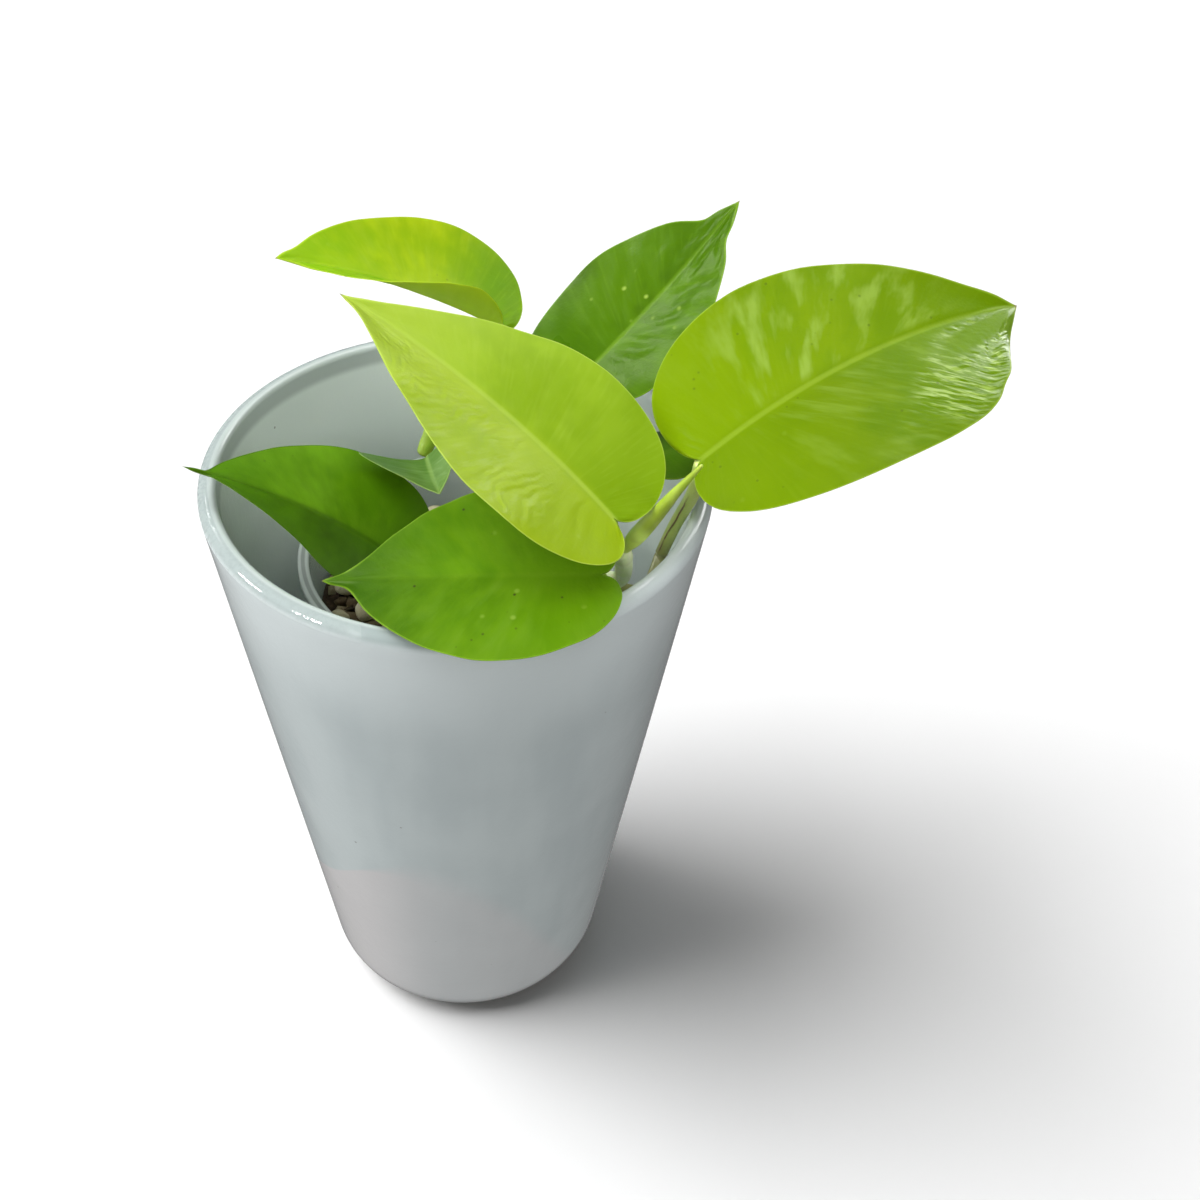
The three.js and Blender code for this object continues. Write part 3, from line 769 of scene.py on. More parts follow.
def crumb_field(count, seed):
    """Rough solids of eight corners thrown over the mix: places, sizes and turns all seeded."""
    rng = np.random.default_rng(seed)
    reach = (cup_side(MIX_TOP) - 3.5) * np.sqrt(rng.uniform(0, 1, count))
    turn = rng.uniform(0, 2 * np.pi, count)
    x, y = reach * np.cos(turn), reach * np.sin(turn)
    size = rng.uniform(0.5, 1.7, (count, 1)) * rng.uniform(0.5, 1.3, (count, 3))
    size[:, 0] *= 1.6
    corner = np.array([[i, j, k] for i in (-1, 1) for j in (-1, 1) for k in (-1, 1)], float)
    shape = corner[None] * size[:, None] * rng.uniform(0.55, 1, (count, 8, 3))
    spin = rng.uniform(0, 2 * np.pi, count)
    tilt = rng.uniform(-0.5, 0.5, count)
    shape = turned_by(shape, tilt, 1, 2)
    shape = turned_by(shape, spin, 0, 1)
    ground = MIX_TOP - 0.2 + rough_ground(x, y)
    shape += np.stack([x, y, ground + size[:, 2] * 0.5], -1)[:, None]
    faces = np.array([[0, 1, 3, 2], [4, 6, 7, 5], [0, 4, 5, 1],
                      [2, 3, 7, 6], [0, 2, 6, 4], [1, 5, 7, 3]])
    loops = (np.arange(count)[:, None, None] * 8 + faces).ravel()
    tone = np.repeat(rng.uniform(0, 1, count), 8)
    return shape.reshape(-1, 3), loops, np.full(count * 6, 4), tone


def turned_by(shapes, angles, first, second):
    """Turns each shape (count, points, 3) by its own angle, from the first axis to the second."""
    c, s = np.cos(angles)[:, None], np.sin(angles)[:, None]
    turned_shapes = shapes.copy()
    turned_shapes[..., first] = shapes[..., first] * c - shapes[..., second] * s
    turned_shapes[..., second] = shapes[..., first] * s + shapes[..., second] * c
    return turned_shapes


mix = skin("growing_mix_mass", mix_rings())
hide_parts("growing_mix")
points, loops, sizes, tone = crumb_field(CRUMB_COUNT, seed=11)
crumb_mesh = fill_mesh("mix_crumbs", points * MM, loops, sizes)
keep_field(crumb_mesh, "tone", tone)
crumbs = finish_piece("mix_crumbs", crumb_mesh)


def mix_finish():
    """Dark damp peat with lighter grains of bark."""
    soil = Finish("peat_and_bark", {"Specular IOR Level": 0.25})
    place = soil.place()
    grain = soil.noise(place, 500, 4, 0.65)
    soil.colour(soil.ramp(grain, PEAT_TONES))
    soil.roughness(0.95)
    soil.bump(grain, 0.0006)
    return soil


def crumb_finish():
    """Each crumb has its own tone, from wet peat to dry bark."""
    bark = Finish("bark_crumbs", {"Specular IOR Level": 0.3})
    grain = bark.noise(bark.place(), 900, 3)
    shade = bark.attribute("tone") * 0.75 + grain * 0.3
    bark.colour(bark.ramp(shade, BARK_TONES))
    bark.roughness(0.85)
    bark.bump(grain, 0.0004)
    return bark


dress(mix, mix_finish())
dress(crumbs, crumb_finish())
print("mix faces:", len(mix.data.polygons), "crumb faces:", len(crumb_mesh.polygons))

# %% [markdown]
# ## Pebbles
#
# A few tan stones lie on the mix. A stone is a ball worn unevenly, so it is made as rings of a
# sphere pushed in and out by a smooth random field, then flattened and turned to its own place.

# %% Pebbles
PEBBLES = [
    (-28, 2, 8, 6, 4.6, 30), (-23, -7, 9, 7, 5.2, 75), (-30, -10, 6, 5, 4, 10),
    (-17, -16, 7, 6, 4.8, 120), (-8, -25, 8, 6, 5, 60), (4, -29, 7, 6.5, 4.6, 0),
    (16, -26, 8, 6, 5, 140), (30, 9, 6, 5, 4, 45), (22, 18, 8, 6, 5, 100), (10, 27, 7, 6, 4.4, 20),
    (-6, 29, 8, 6, 5, 165), (-20, 23, 7, 5, 4.2, 80), (-28, 12, 6, 5, 4, 130),
    (-17, 8, 7, 6, 4.6, 50), (18, 1, 8, 6, 5, 15), (2, -9, 7, 6, 4.8, 95),
]  # x, y, length, width, height, and how far it is turned, in degrees
PEBBLE_GAP = 0.3  # between a stone and the plain top of the mix
STONE_TONES = [(0.3, (0.26, 0.22, 0.13)), (0.5, (0.44, 0.4, 0.26)), (0.7, (0.6, 0.56, 0.42))]
STONE_FLECK = (0.12, 0.09, 0.07)


def pebble_rings(length, width, height, turn, seed):
    """A ball whose radius wanders by a tenth or so, stretched to its three sizes and turned."""
    rise = np.linspace(-np.pi / 2, np.pi / 2, 26)[:, None]
    angle = 2 * np.pi * np.arange(40) / 40
    x, y = np.cos(rise) * np.cos(angle), np.cos(rise) * np.sin(angle)
    z = np.broadcast_to(np.sin(rise), x.shape)
    wear = 0.46 + 0.055 * lumps(x + 0.7 * z, y - 0.4 * z, 2.1, seed, 2)
    wear[0], wear[-1] = wear[0, 0], wear[-1, 0]
    squared = 1 - 0.08 * (x ** 2 * y ** 2) * 4
    x, y, z = x * wear * squared * length, y * wear * squared * width, z * wear * height
    c, s = np.cos(np.radians(turn)), np.sin(np.radians(turn))
    return np.stack([x * c - y * s, x * s + y * c, z], -1)


def stone_finish():
    """Tan patches with a few dark flecks."""
    stone = Finish("tan_stone", {"Specular IOR Level": 0.35})
    place = stone.place()
    patches = stone.noise(place, 130, 3)
    grain = stone.noise(place, 1400, 2)
    flecks = grain.step(0.6, 0.68)
    stone.colour(stone.mix(flecks * 0.3, stone.ramp(patches, STONE_TONES), STONE_FLECK))
    stone.roughness(0.75)
    stone.bump(grain * 0.5 + patches, 0.0004)
    return stone


stone = stone_finish()
for number, (x, y, *form) in enumerate(PEBBLES, 1):
    rings = pebble_rings(*form, seed=40 + number)
    low = MIX_TOP + PEBBLE_GAP - rings[..., 2].min()
    pebble = skin(f"stone_{number:02d}", rings + np.array([x, y, low]))
    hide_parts(f"pebble_{number:02d}")
    dress(pebble, stone)
print("pebbles:", len(PEBBLES))

# %% [markdown]
# ## Stems and leaf stalks
#
# The vines are smooth pale green rods with a slight swelling and a brown scar line at each node. A
# leaf stalk is thinner, has a groove along its upper side, and swells again just under the blade.
# Both are a section carried along a smooth curve through the same points as the plain solids.

# %% A section carried along a path
STEMS = {
    "stem_front": {
        "points": [(28.5, 2, 112), (29, -1, 126), (29.5, -6, 138), (31.5, -12, 149), (36, -24, 160),
                   (36, -31, 170), (34.8, -34.5, 177.5)],
        "radii": (1.9, 2), "nodes": (0.3, 0.6, 0.67, 0.97)},
    "stem_back": {
        "points": [(4, 6, 112), (5, 7, 126), (6.5, 8, 140), (8, 8, 153), (10, 7, 166),
                   (11, 6.5, 172)],
        "radii": (2, 1.8), "nodes": (0.35, 0.6, 0.78, 0.95)},
    "stem_left": {
        "points": [(-7, 2, 112), (-8, 2, 124), (-9, 1, 136), (-9.5, -1, 146)],
        "radii": (1.8, 1.6), "nodes": (0.55, 0.92)},
}  # radii at both ends; nodes are the shares of the length at which leaves grow
# the stems' own pale green, raised near white as painted light against the leaves' shade
VINE_GREENS_WITH_LIGHT = ((0.84, 0.98, 0.5), (0.9, 1.0, 0.64))
VINE_ROOT, VINE_SCAR = (0.24, 0.2, 0.09), (0.3, 0.3, 0.1)
DOME = 0.7  # how far an end bulges, as a share of its radius
DOME_BENDS = np.radians([18, 40, 65, 90])  # the rings of that bulge, up to its point


def smooth_path(points, count):
    """Centripetal Catmull-Rom through the points, then count + 1 places evenly spaced by length."""
    p = np.array(points, float)
    p = np.concatenate([[2 * p[0] - p[1]], p, [2 * p[-1] - p[-2]]])
    gap = np.sqrt(np.linalg.norm(np.diff(p, axis=0), axis=1))
    t = np.linspace(0, 1, 60, endpoint=False)[:, None]
    runs = []
    for i in range(1, len(p) - 2):
        d0, d1, d2 = gap[i - 1], gap[i], gap[i + 1]
        x0, x1, x2, x3 = p[i - 1], p[i], p[i + 1], p[i + 2]
        leave = ((x1 - x0) / d0 - (x2 - x0) / (d0 + d1) + (x2 - x1) / d1) * d1
        arrive = ((x2 - x1) / d1 - (x3 - x1) / (d1 + d2) + (x3 - x2) / d2) * d1
        square, cube = t ** 2, t ** 3
        runs.append((2 * cube - 3 * square + 1) * x1 + (cube - 2 * square + t) * leave
                    + (3 * square - 2 * cube) * x2 + (cube - square) * arrive)
    fine = np.concatenate([*runs, [p[-2]]])
    length = np.concatenate([[0], np.cumsum(np.linalg.norm(np.diff(fine, axis=0), axis=1))])
    even = np.linspace(0, length[-1], count + 1)
    return np.stack([np.interp(even, length, fine[:, k]) for k in range(3)], -1)


def between(ends, share):
    """From the first end to the second, in proportion to share."""
    return ends[0] + (ends[1] - ends[0]) * share


def carried_frames(path):
    """Tangent, side and upper side all along a path; where it is steep, upper side means back."""
    tangent = np.gradient(path, axis=0)
    tangent /= np.linalg.norm(tangent, axis=1, keepdims=True)
    upper = np.array([0.0, 0.0, 1.0]) - tangent * tangent[:, 2:]
    sideways = np.array([0.0, 1.0, 0.0]) - tangent * tangent[:, 1:2]
    steep = np.clip((np.abs(tangent[:, 2:]) - 0.9) / 0.1, 0, 1)
    upper = upper * (1 - steep) + sideways * steep
    upper /= np.linalg.norm(upper, axis=1, keepdims=True)
    return tangent, np.cross(tangent, upper), upper


def carried(path, radius, around=32, groove=0.0, spiral=0.0):
    """Rings of a round section of the given radii along a path, closed by low domes.

    groove sinks the upper side by that share of the radius. spiral lets the radius grow by that
    share once round, with one soft step, as a rolled leaf's edge does. Also returns the share of
    the path's length at each point of the rings.
    """
    tangent, side, upper = carried_frames(path)
    angle = 2 * np.pi * np.arange(around) / around
    share = np.linspace(0, 1, len(path))[:, None]
    dip = groove * np.exp(-((angle - np.pi / 2) / 0.55) ** 2)
    turn = (angle / (2 * np.pi) + 0.35 * share) % 1
    roll = spiral * (turn - np.clip((turn - 0.9) / 0.1, 0, 1))
    reach = (radius[:, None] * (1 - dip + roll))[..., None]
    ring = path[:, None] + reach * (np.cos(angle)[:, None] * side[:, None]
                                    + np.sin(angle)[:, None] * upper[:, None])
    start = [closing(path[0], ring[0], -tangent[0], DOME * radius[0], b) for b in DOME_BENDS[::-1]]
    end = [closing(path[-1], ring[-1], tangent[-1], DOME * radius[-1], b) for b in DOME_BENDS]
    rings = np.concatenate([start, ring, end])
    along = np.pad(share, ((len(start), len(end)), (0, 0)), "edge")
    return rings, np.broadcast_to(along, rings.shape[:2])


def closing(middle, ring, way, height, bend):
    """A ring of a dome: drawn in towards its middle and pushed along; a point at 90 degrees."""
    return middle + (ring - middle) * np.cos(bend) * (bend < 1.5) + way * height * np.sin(bend)


def swelling(share, places, width, height):
    """1 plus a soft bump at each place along the piece."""
    return 1 + sum(height * np.exp(-((share - p) / width) ** 2) for p in places)


def stem_piece(name, spec):
    """A vine stem with swollen nodes, each with a narrow scar."""
    path = smooth_path(spec["points"], 90)
    share = np.linspace(0, 1, len(path))
    radius = between(spec["radii"], share) * swelling(share, spec["nodes"], 0.018, 0.12)
    rings, along = carried(path, radius)
    scar = np.exp(-((along[..., None] - np.array(spec["nodes"])) / 0.008) ** 2).sum(-1)
    piece = skin(f"{name}_vine", rings, {"scar": scar, "along": along})
    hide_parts(name)
    return piece


def stem_finish():
    """Pale green raised by painted light, faint streaks, brown near the root, a little at the
    scars.
    """
    bark = Finish("pale_green_vine", {"Subsurface Weight": 0.1, "Subsurface Scale": 0.001})
    place = bark.place()
    along = bark.attribute("along")
    scar = bark.attribute("scar")
    streaks = bark.noise(place, 300, 2)
    green = bark.mix(streaks.step(0.3, 0.7), *VINE_GREENS_WITH_LIGHT)
    green = bark.mix(along.step(0.4, 0.15), green, VINE_ROOT)
    bark.colour(bark.mix(scar * 0.2, green, VINE_SCAR))
    bark.roughness(0.42)
    bark.bump(bark.noise(place, 700, 2), 0.0002)
    return bark


vine = stem_finish()
for name, spec in STEMS.items():
    dress(stem_piece(name, spec), vine)
print("stems:", list(STEMS))

# %% [markdown]
# ## The leaf blade
#
# Each blade is a heart with a drip tip, folded along its midrib. The midrib bends evenly: it
# droops, sways and rolls by a fixed number of degrees from stalk to tip. Half of the flat outline
# is two Bezier curves, one round the lobe and one to the tip, and the two halves differ, as on a
# real leaf. A point of the blade is then a function of two parameters: how far along the side
# veins, and which vein. The plain solids use the same formula; here it is sampled finely and given
# what the eye sees: the sunken midrib, the soft swell between side veins, a wavy margin and a few
# dry wrinkles.

# %% Leaf measures
# base is where stalk and blade meet. heading and rise are the midrib's direction there, in degrees;
# droop, sway and twist are how far it bends and turns from there to the tip, and roll is the
# blade's tilt. fold is how far each half is lifted, and cup how much it curls. A half is its width,
# how far its lobe reaches back, then in shares: its widest place, how full it is near the tip, its
# shoulder, and where it starts to taper.
LEAVES = {
    "leaf_centre": {
        "base": (31, -43, 194), "heading": 142, "rise": 33, "droop": 15.5, "sway": 9.5, "roll": -2,
        "twist": 0, "fold": 11, "cup": 0, "length": 72.5,
        "left": (25, 11.5, 0.3, 0.17, 0.27, 0.85), "right": (25, 6, 0.27, 0.14, 0.31, 0.85)},
    "leaf_right": {
        "base": (51.3, -26.3, 196), "heading": 19.5, "rise": 35, "droop": 43.5, "sway": 6,
        "roll": 15.5, "twist": 7.5, "fold": 9, "cup": 0.01, "length": 85,
        "left": (27, 3.5, 0.3, 0.21, 0.39, 0.87), "right": (27.5, 6.5, 0.5, 0.63, 0.6, 0.78)},
    "leaf_back_left": {
        "base": (10.6, 20.6, 200), "heading": 167, "rise": 24.5, "droop": 8.5, "sway": 32,
        "roll": 21.5, "twist": -38, "fold": 27, "cup": 0.095, "length": 54,
        "left": (23, 0.8, 0.29, 0.02, 0.23, 0.79), "right": (22, 5, 0.22, 0.28, 0.25, 0.92)},
    "leaf_back_right": {
        "base": (27.2, 9.9, 191), "heading": 36, "rise": 27.5, "droop": -17, "sway": -6.5,
        "roll": -3, "twist": 1.5, "fold": 8.5, "cup": -0.035, "length": 57.5,
        "left": (22.5, 9, 0.38, 0.24, 0.5, 0.86), "right": (21, 7, 0.33, 0.2, 0.31, 0.86)},
    "leaf_front": {
        "base": (28.3, -49.6, 184.5), "heading": 178, "rise": -1, "droop": 17, "sway": -17,
        "roll": -14, "twist": -6.5, "fold": 7, "cup": 0, "length": 60,
        "left": (21.5, 7.5, 0.33, 0.3, 0.3, 0.8), "right": (20.5, 7, 0.36, 0.2, 0.3, 0.8)},
    "leaf_left": {
        "base": (-13.2, -12.3, 156), "heading": 178, "rise": 44, "droop": 19, "sway": 13,
        "roll": -17.5, "twist": 26, "fold": 13, "cup": 0, "length": 56.5,
        "left": (21, 7, 0.32, 0.1, 0.3, 0.81), "right": (21, 6.5, 0.3, 0.16, 0.33, 0.84)},
    "leaf_inner_left": {
        "base": (-7.9, 11.7, 169), "heading": 280, "rise": 0, "droop": -20, "sway": 0, "roll": 16,
        "twist": -11, "fold": 34, "cup": 0.1, "length": 19.6,
        "left": (7.9, 0.5, 0.32, 0.12, 0.3, 0.82), "right": (17.6, -2.5, 0.33, 0.13, 0.23, 0.82)},
    "leaf_inner_right": {
        "base": (42.3, -11.6, 184.5), "heading": 39, "rise": -2, "droop": 17.5, "sway": 5,
        "roll": -1.5, "twist": -38, "fold": 2, "cup": 0, "length": 37,
        "left": (11.5, 3, 0.33, 0.12, 0.3, 0.82), "right": (11.5, 3, 0.28, 0.12, 0.44, 0.82)},
}
VEIN_SLANT = 2.2  # above 1, side veins start nearer the base than they end
# the handles of the outline's curves, as shares of the lobe, the width, the lobe and the length
LOBE_PULL, SINUS_OUT, SHOULDER_LOBE, FULL_RUN = 1.35, 0.1, 0.5, 0.27


def even_turn(start, rate, s):
    """How far a line that turns evenly gets along one axis: the integral of cos(start + rate s)."""
    if abs(rate) < 1e-6:
        return np.cos(start) * s
    return (np.sin(start + rate * s) - np.sin(start)) / rate


def midrib(leaf, s):
    """Place, tangent, right side and normal at shares s of the midrib, each an array (..., 3)."""
    on = np.clip(s, 0, 1)
    rise, heading, droop, sway = np.radians(
        [leaf["rise"], leaf["heading"], leaf["droop"], leaf["sway"]])
    together = even_turn(rise + heading, sway - droop, on)
    apart = even_turn(rise - heading, -droop - sway, on)
    together_across = even_turn(rise + heading - np.pi / 2, sway - droop, on)
    apart_across = even_turn(rise - heading - np.pi / 2, -droop - sway, on)
    climb = even_turn(rise - np.pi / 2, -droop, on)
    way = np.stack([(together + apart) / 2, (together_across - apart_across) / 2, climb], -1)
    pitch, yaw = rise - droop * on, heading + sway * on
    tangent = np.stack(
        [np.cos(pitch) * np.cos(yaw), np.cos(pitch) * np.sin(yaw), np.sin(pitch)], -1)
    level = np.stack([np.sin(yaw), -np.cos(yaw), np.zeros_like(yaw)], -1)
    upright = np.cross(level, tangent)
    roll = np.radians(leaf["roll"] + leaf["twist"] * on)[..., None]
    side = level * np.cos(roll) - upright * np.sin(roll)
    normal = upright * np.cos(roll) + level * np.sin(roll)
    beyond = tangent * ((s - on) * leaf["length"])[..., None]
    place = np.array(leaf["base"]) + way * leaf["length"] + beyond
    return place, tangent, side, normal


def bezier(controls, t):
    """A cubic Bezier curve through four control points (4, 2) at shares t."""
    t = t[..., None]
    a, b, c, d = (np.array(p) for p in controls)
    return a * (1 - t) ** 3 + 3 * b * t * (1 - t) ** 2 + 3 * c * t ** 2 * (1 - t) + d * t ** 3


def half_outline(length, half, t):
    """Half the flat outline: round the lobe to the widest place at t = 0.5, then on to the tip."""
    width, lobe, widest, fullness, shoulder, taper = half
    middle = widest * length
    lobe_curve = [(0, 0), (-LOBE_PULL * lobe, SINUS_OUT * width),
                  (middle - shoulder * length - SHOULDER_LOBE * lobe, width), (middle, width)]
    tip_curve = [(middle, width), (middle + FULL_RUN * length, width),
                 (taper * length, fullness * width), (length, 0)]
    lobe_part = bezier(lobe_curve, np.clip(2 * t, 0, 1))
    tip_part = bezier(tip_curve, np.clip(2 * t - 1, 0, 1))
    return np.where((t < 0.5)[..., None], lobe_part, tip_part)


# %% [markdown]
# ### Relief of a blade
#
# The relief is small, a tenth of a millimetre here and half a millimetre there, but gloss shows all
# of it. It is a sum of separate causes, each with its own size: the midrib's groove, the swell
# between side veins, a long slow buckle, the waves of the margin, and wrinkles where the blade has
# dried or grown unevenly.

# %% Blade relief
BLADE_THICKNESS = 0.45
EDGE_BLUNTNESS = 0.35  # 1 is a thin lens, 0 a plate
GROOVE_WIDTH = 0.9  # the midrib on the upper side
UNDER_RIB = (0.55, 0.8)  # the midrib on the underside: how far it stands out, and its width
PINCHED = {
    "leaf_back_right": {-1: (0.86, 0.05, 0.3), 1: (0.84, 0.05, 0.2)},
    "leaf_front": {-1: (0.9, 0.07, 0.42), 1: (0.9, 0.07, 0.32)},
    "leaf_left": {-1: (0.93, 0.055, 0.72), 1: (0.93, 0.055, 0.72)},
    "leaf_centre": {-1: (0.93, 0.06, 0.15), 1: (0.93, 0.06, 0.1)},
    "leaf_back_left": {-1: (0.93, 0.06, 0.25), 1: (0.93, 0.06, 0.2)},
}  # left and right: where the blade narrows to its drip tip, over what length, by how much
RIPPLED = {"leaf_right": (6.5, 0.024, 0.66), "leaf_centre": (7, 0.012, 0.5)}  # waves, depth, start
FOLD_SOFTNESS = 0.1  # how wide the fold at the midrib is rounded, as a share of the half width
# groove to wrinkle are heights in millimetres; veins and creases are counts; wrinkled is the side,
# where on the length the wrinkles start and end, and how much sooner they start at the margin
RELIEF = {
    "leaf_centre": {
        "seed": 1, "groove": 0.14, "veins": 15, "swell": 0.09, "buckle": 0.5, "margin": 0.35,
        "wrinkle": 0.08, "creases": 44, "wrinkled": ("left", 0.15, 0.9, 0.1)},
    "leaf_right": {
        "seed": 2, "groove": 0.16, "veins": 17, "swell": 0.08, "buckle": 0.5, "margin": 0.5,
        "wrinkle": 0.15, "creases": 60, "wrinkled": ("right", 0.72, 1.02, 0.42)},
    "leaf_back_left": {
        "seed": 3, "groove": 0.16, "veins": 12, "swell": 0.16, "buckle": 0.35, "margin": 0.2,
        "wrinkle": 0.05, "creases": 14, "wrinkled": ("left", 0.3, 1.0, 0)},
    "leaf_back_right": {
        "seed": 4, "groove": 0.14, "veins": 11, "swell": 0.42, "buckle": 0.4, "margin": 0.3,
        "wrinkle": 0.1, "creases": 14, "wrinkled": ("right", 0.2, 0.9, 0)},
    "leaf_front": {
        "seed": 5, "groove": 0.1, "veins": 12, "swell": 0.12, "buckle": 0.5, "margin": 0.3,
        "wrinkle": 0.05, "creases": 14, "wrinkled": ("right", 0.3, 0.9, 0)},
    "leaf_left": {
        "seed": 6, "groove": 0.3, "veins": 12, "swell": 0.16, "buckle": 0.5, "margin": 0.25,
        "wrinkle": 0.04, "creases": 14, "wrinkled": ("left", 0.3, 0.9, 0)},
    "leaf_inner_left": {
        "seed": 7, "groove": 0.2, "veins": 7, "swell": 0.1, "buckle": 0.15, "margin": 0.1,
        "wrinkle": 0.03, "creases": 10, "wrinkled": ("left", 0.3, 0.9, 0)},
    "leaf_inner_right": {
        "seed": 8, "groove": 0.1, "veins": 8, "swell": 0.12, "buckle": 0.2, "margin": 0.1,
        "wrinkle": 0.03, "creases": 10, "wrinkled": ("left", 0.3, 0.9, 0)},
}


def smooth_step(value, low, high):
    """0 at low, 1 at high and smooth between; low may be the larger."""
    share = np.clip((value - low) / (high - low), 0, 1)
    return share * share * (3 - 2 * share)


def blade_relief(leaf, relief, across, t, out, rim, along):
    """How far the blade stands off its plain form, in millimetres, and how wrinkled it is, 0 to 1.

    The first is the sum of the groove, the swell, the buckle, the margin's waves and the wrinkles,
    let down at both ends. across is -1 at the left margin, 0 on the midrib and 1 at the right
    margin; t is which side vein; out and rim are the distances from the midrib and from the margin;
    along is the share of the length reached.
    """
    share = np.abs(across)
    seed = relief["seed"]
    settle = smooth_step(t, 0, 0.08) * smooth_step(t, 1, 0.93)
    groove = -relief["groove"] * np.exp(-(out / GROOVE_WIDTH) ** 2)
    phase = 2 * np.pi * relief["veins"] * (t + 0.02 * lumps(across * 3, t * 4, 2, seed))
    uneven = 0.55 + 0.45 * lumps(across * 2 + 5, t * 9, 2.3, seed + 20)
    swell = relief["swell"] * (0.5 - 0.5 * np.cos(phase)) ** 0.7 * smooth_step(share, 0.02, 0.3)
    swell = swell * smooth_step(share, 1.05, 0.6) * uneven
    x, y = across * leaf["left"][0], t * leaf["length"]
    buckle = relief["buckle"] * lumps(x, y, 34, seed + 40, 2) * share
    waves = relief["margin"] * share ** 5 * lumps(t * 9, across, 1.7, seed + 60, 2)
    side, start, end, lean = relief["wrinkled"]
    where = smooth_step(across * (1 if side == "right" else -1), 0.02, 0.25)
    where = where * smooth_step(along + lean * share, start, start + 0.12)
    where = where * smooth_step(along, end + 0.03, end - 0.04)
    warp = 0.03 * lumps(across * 3, along * 5, 1.6, seed + 80)
    creases = lumps(across * 2.2 + 3, (t + warp) * relief["creases"], 1, seed + 90, 2)
    patchy = smooth_step(lumps(across * 2 + 9, t * 7, 2, seed + 95, 2), -0.7, 0.0)
    wrinkle = relief["wrinkle"] * where * creases * (0.3 + 0.7 * patchy)
    wrinkle = wrinkle * smooth_step(rim, 0, 1.5) * smooth_step(t, 1.0, 0.82)
    return settle * (groove + swell + buckle + waves + wrinkle), where * patchy


def margin_shape(name, hand, forward, t):
    """What the half width is multiplied by: a pinch before the drip tip, ripples towards the tip.

    hand is -1 for the left half and 1 for the right. A pinch is a soft dip, a ripple a sine of t.
    """
    shape = np.ones_like(forward)
    if name in PINCHED:
        place, width, depth = PINCHED[name][hand]
        shape -= depth * np.exp(-((forward - place) / width) ** 2)
    if name in RIPPLED and hand == 1:
        waves, depth, start = RIPPLED[name]
        shape += depth * np.sin(2 * np.pi * waves * t) * smooth_step(t, start, start + 0.15)
    return shape


def blade(name, across_faces, along_faces):
    """The closed blade: over the top from margin to margin, and back underneath.

    A point lies out along its side vein from the midrib, is lifted by the fold, the cup and the
    relief, and stands half the thickness above or below that, thinning as a lens does at its rim.
    """
    leaf, relief = LEAVES[name], RELIEF[name]
    angle = np.pi * np.arange(2 * across_faces) / across_faces
    across, t = np.broadcast_arrays(
        -np.cos(angle)[None], np.linspace(0, 1, along_faces + 1)[:, None])
    share = np.abs(across)
    left = half_outline(leaf["length"], leaf["left"], t)
    right = half_outline(leaf["length"], leaf["right"], t)
    left[..., 1] *= margin_shape(name, -1, left[..., 0] / leaf["length"], t)
    right[..., 1] *= margin_shape(name, 1, right[..., 0] / leaf["length"], t)
    edge = np.where((across < 0)[..., None], left, right)
    vein_start = leaf["length"] * t ** VEIN_SLANT
    forward = vein_start + (edge[..., 0] - vein_start) * share
    out = edge[..., 1] * share
    rim = edge[..., 1] * (1 - share)
    place, _, side, normal = midrib(leaf, forward / leaf["length"])
    fold = np.radians(leaf["fold"])
    half_width = max(leaf["left"][0], leaf["right"][0])
    soft = FOLD_SOFTNESS * half_width
    lift = (np.hypot(out, soft) - soft) * np.sin(fold) + leaf["cup"] * out ** 2 / half_width
    stands_off, dry = blade_relief(leaf, relief, across, t, out, rim, forward / leaf["length"])
    lift = lift + stands_off
    underside = np.broadcast_to((angle > np.pi)[None], across.shape)
    rib = UNDER_RIB[0] * np.exp(-(out / UNDER_RIB[1]) ** 2)
    rib = rib * smooth_step(t, 1, 0.6) * smooth_step(t, 0, 0.05)
    lens = np.sqrt(np.clip(1 - across ** 2, 0, 1)) ** EDGE_BLUNTNESS * (share < 0.9999)
    half = BLADE_THICKNESS / 2 * lens * smooth_step(t, 0, 0.06) * smooth_step(t, 1, 0.96)
    offset = np.where(underside, -half - rib, half)
    points = place + side * (np.sign(across) * out * np.cos(fold))[..., None]
    points = points + normal * (lift + offset)[..., None]
    points[0], points[-1] = points[0].mean(0), points[-1].mean(0)
    fields = {"blade": np.stack([across, t, underside.astype(float)], -1),
              "reach": np.stack([out, rim, forward / leaf["length"]], -1),
              "dry": dry * (1 - underside)}
    return points, fields


FINENESS = {  # faces across the top, and along
    "leaf_centre": (92, 220), "leaf_right": (96, 400), "leaf_back_left": (72, 120),
    "leaf_back_right": (72, 120), "leaf_front": (72, 130), "leaf_left": (64, 110),
    "leaf_inner_left": (40, 60), "leaf_inner_right": (44, 70),
}
print("blades to make:", len(FINENESS))
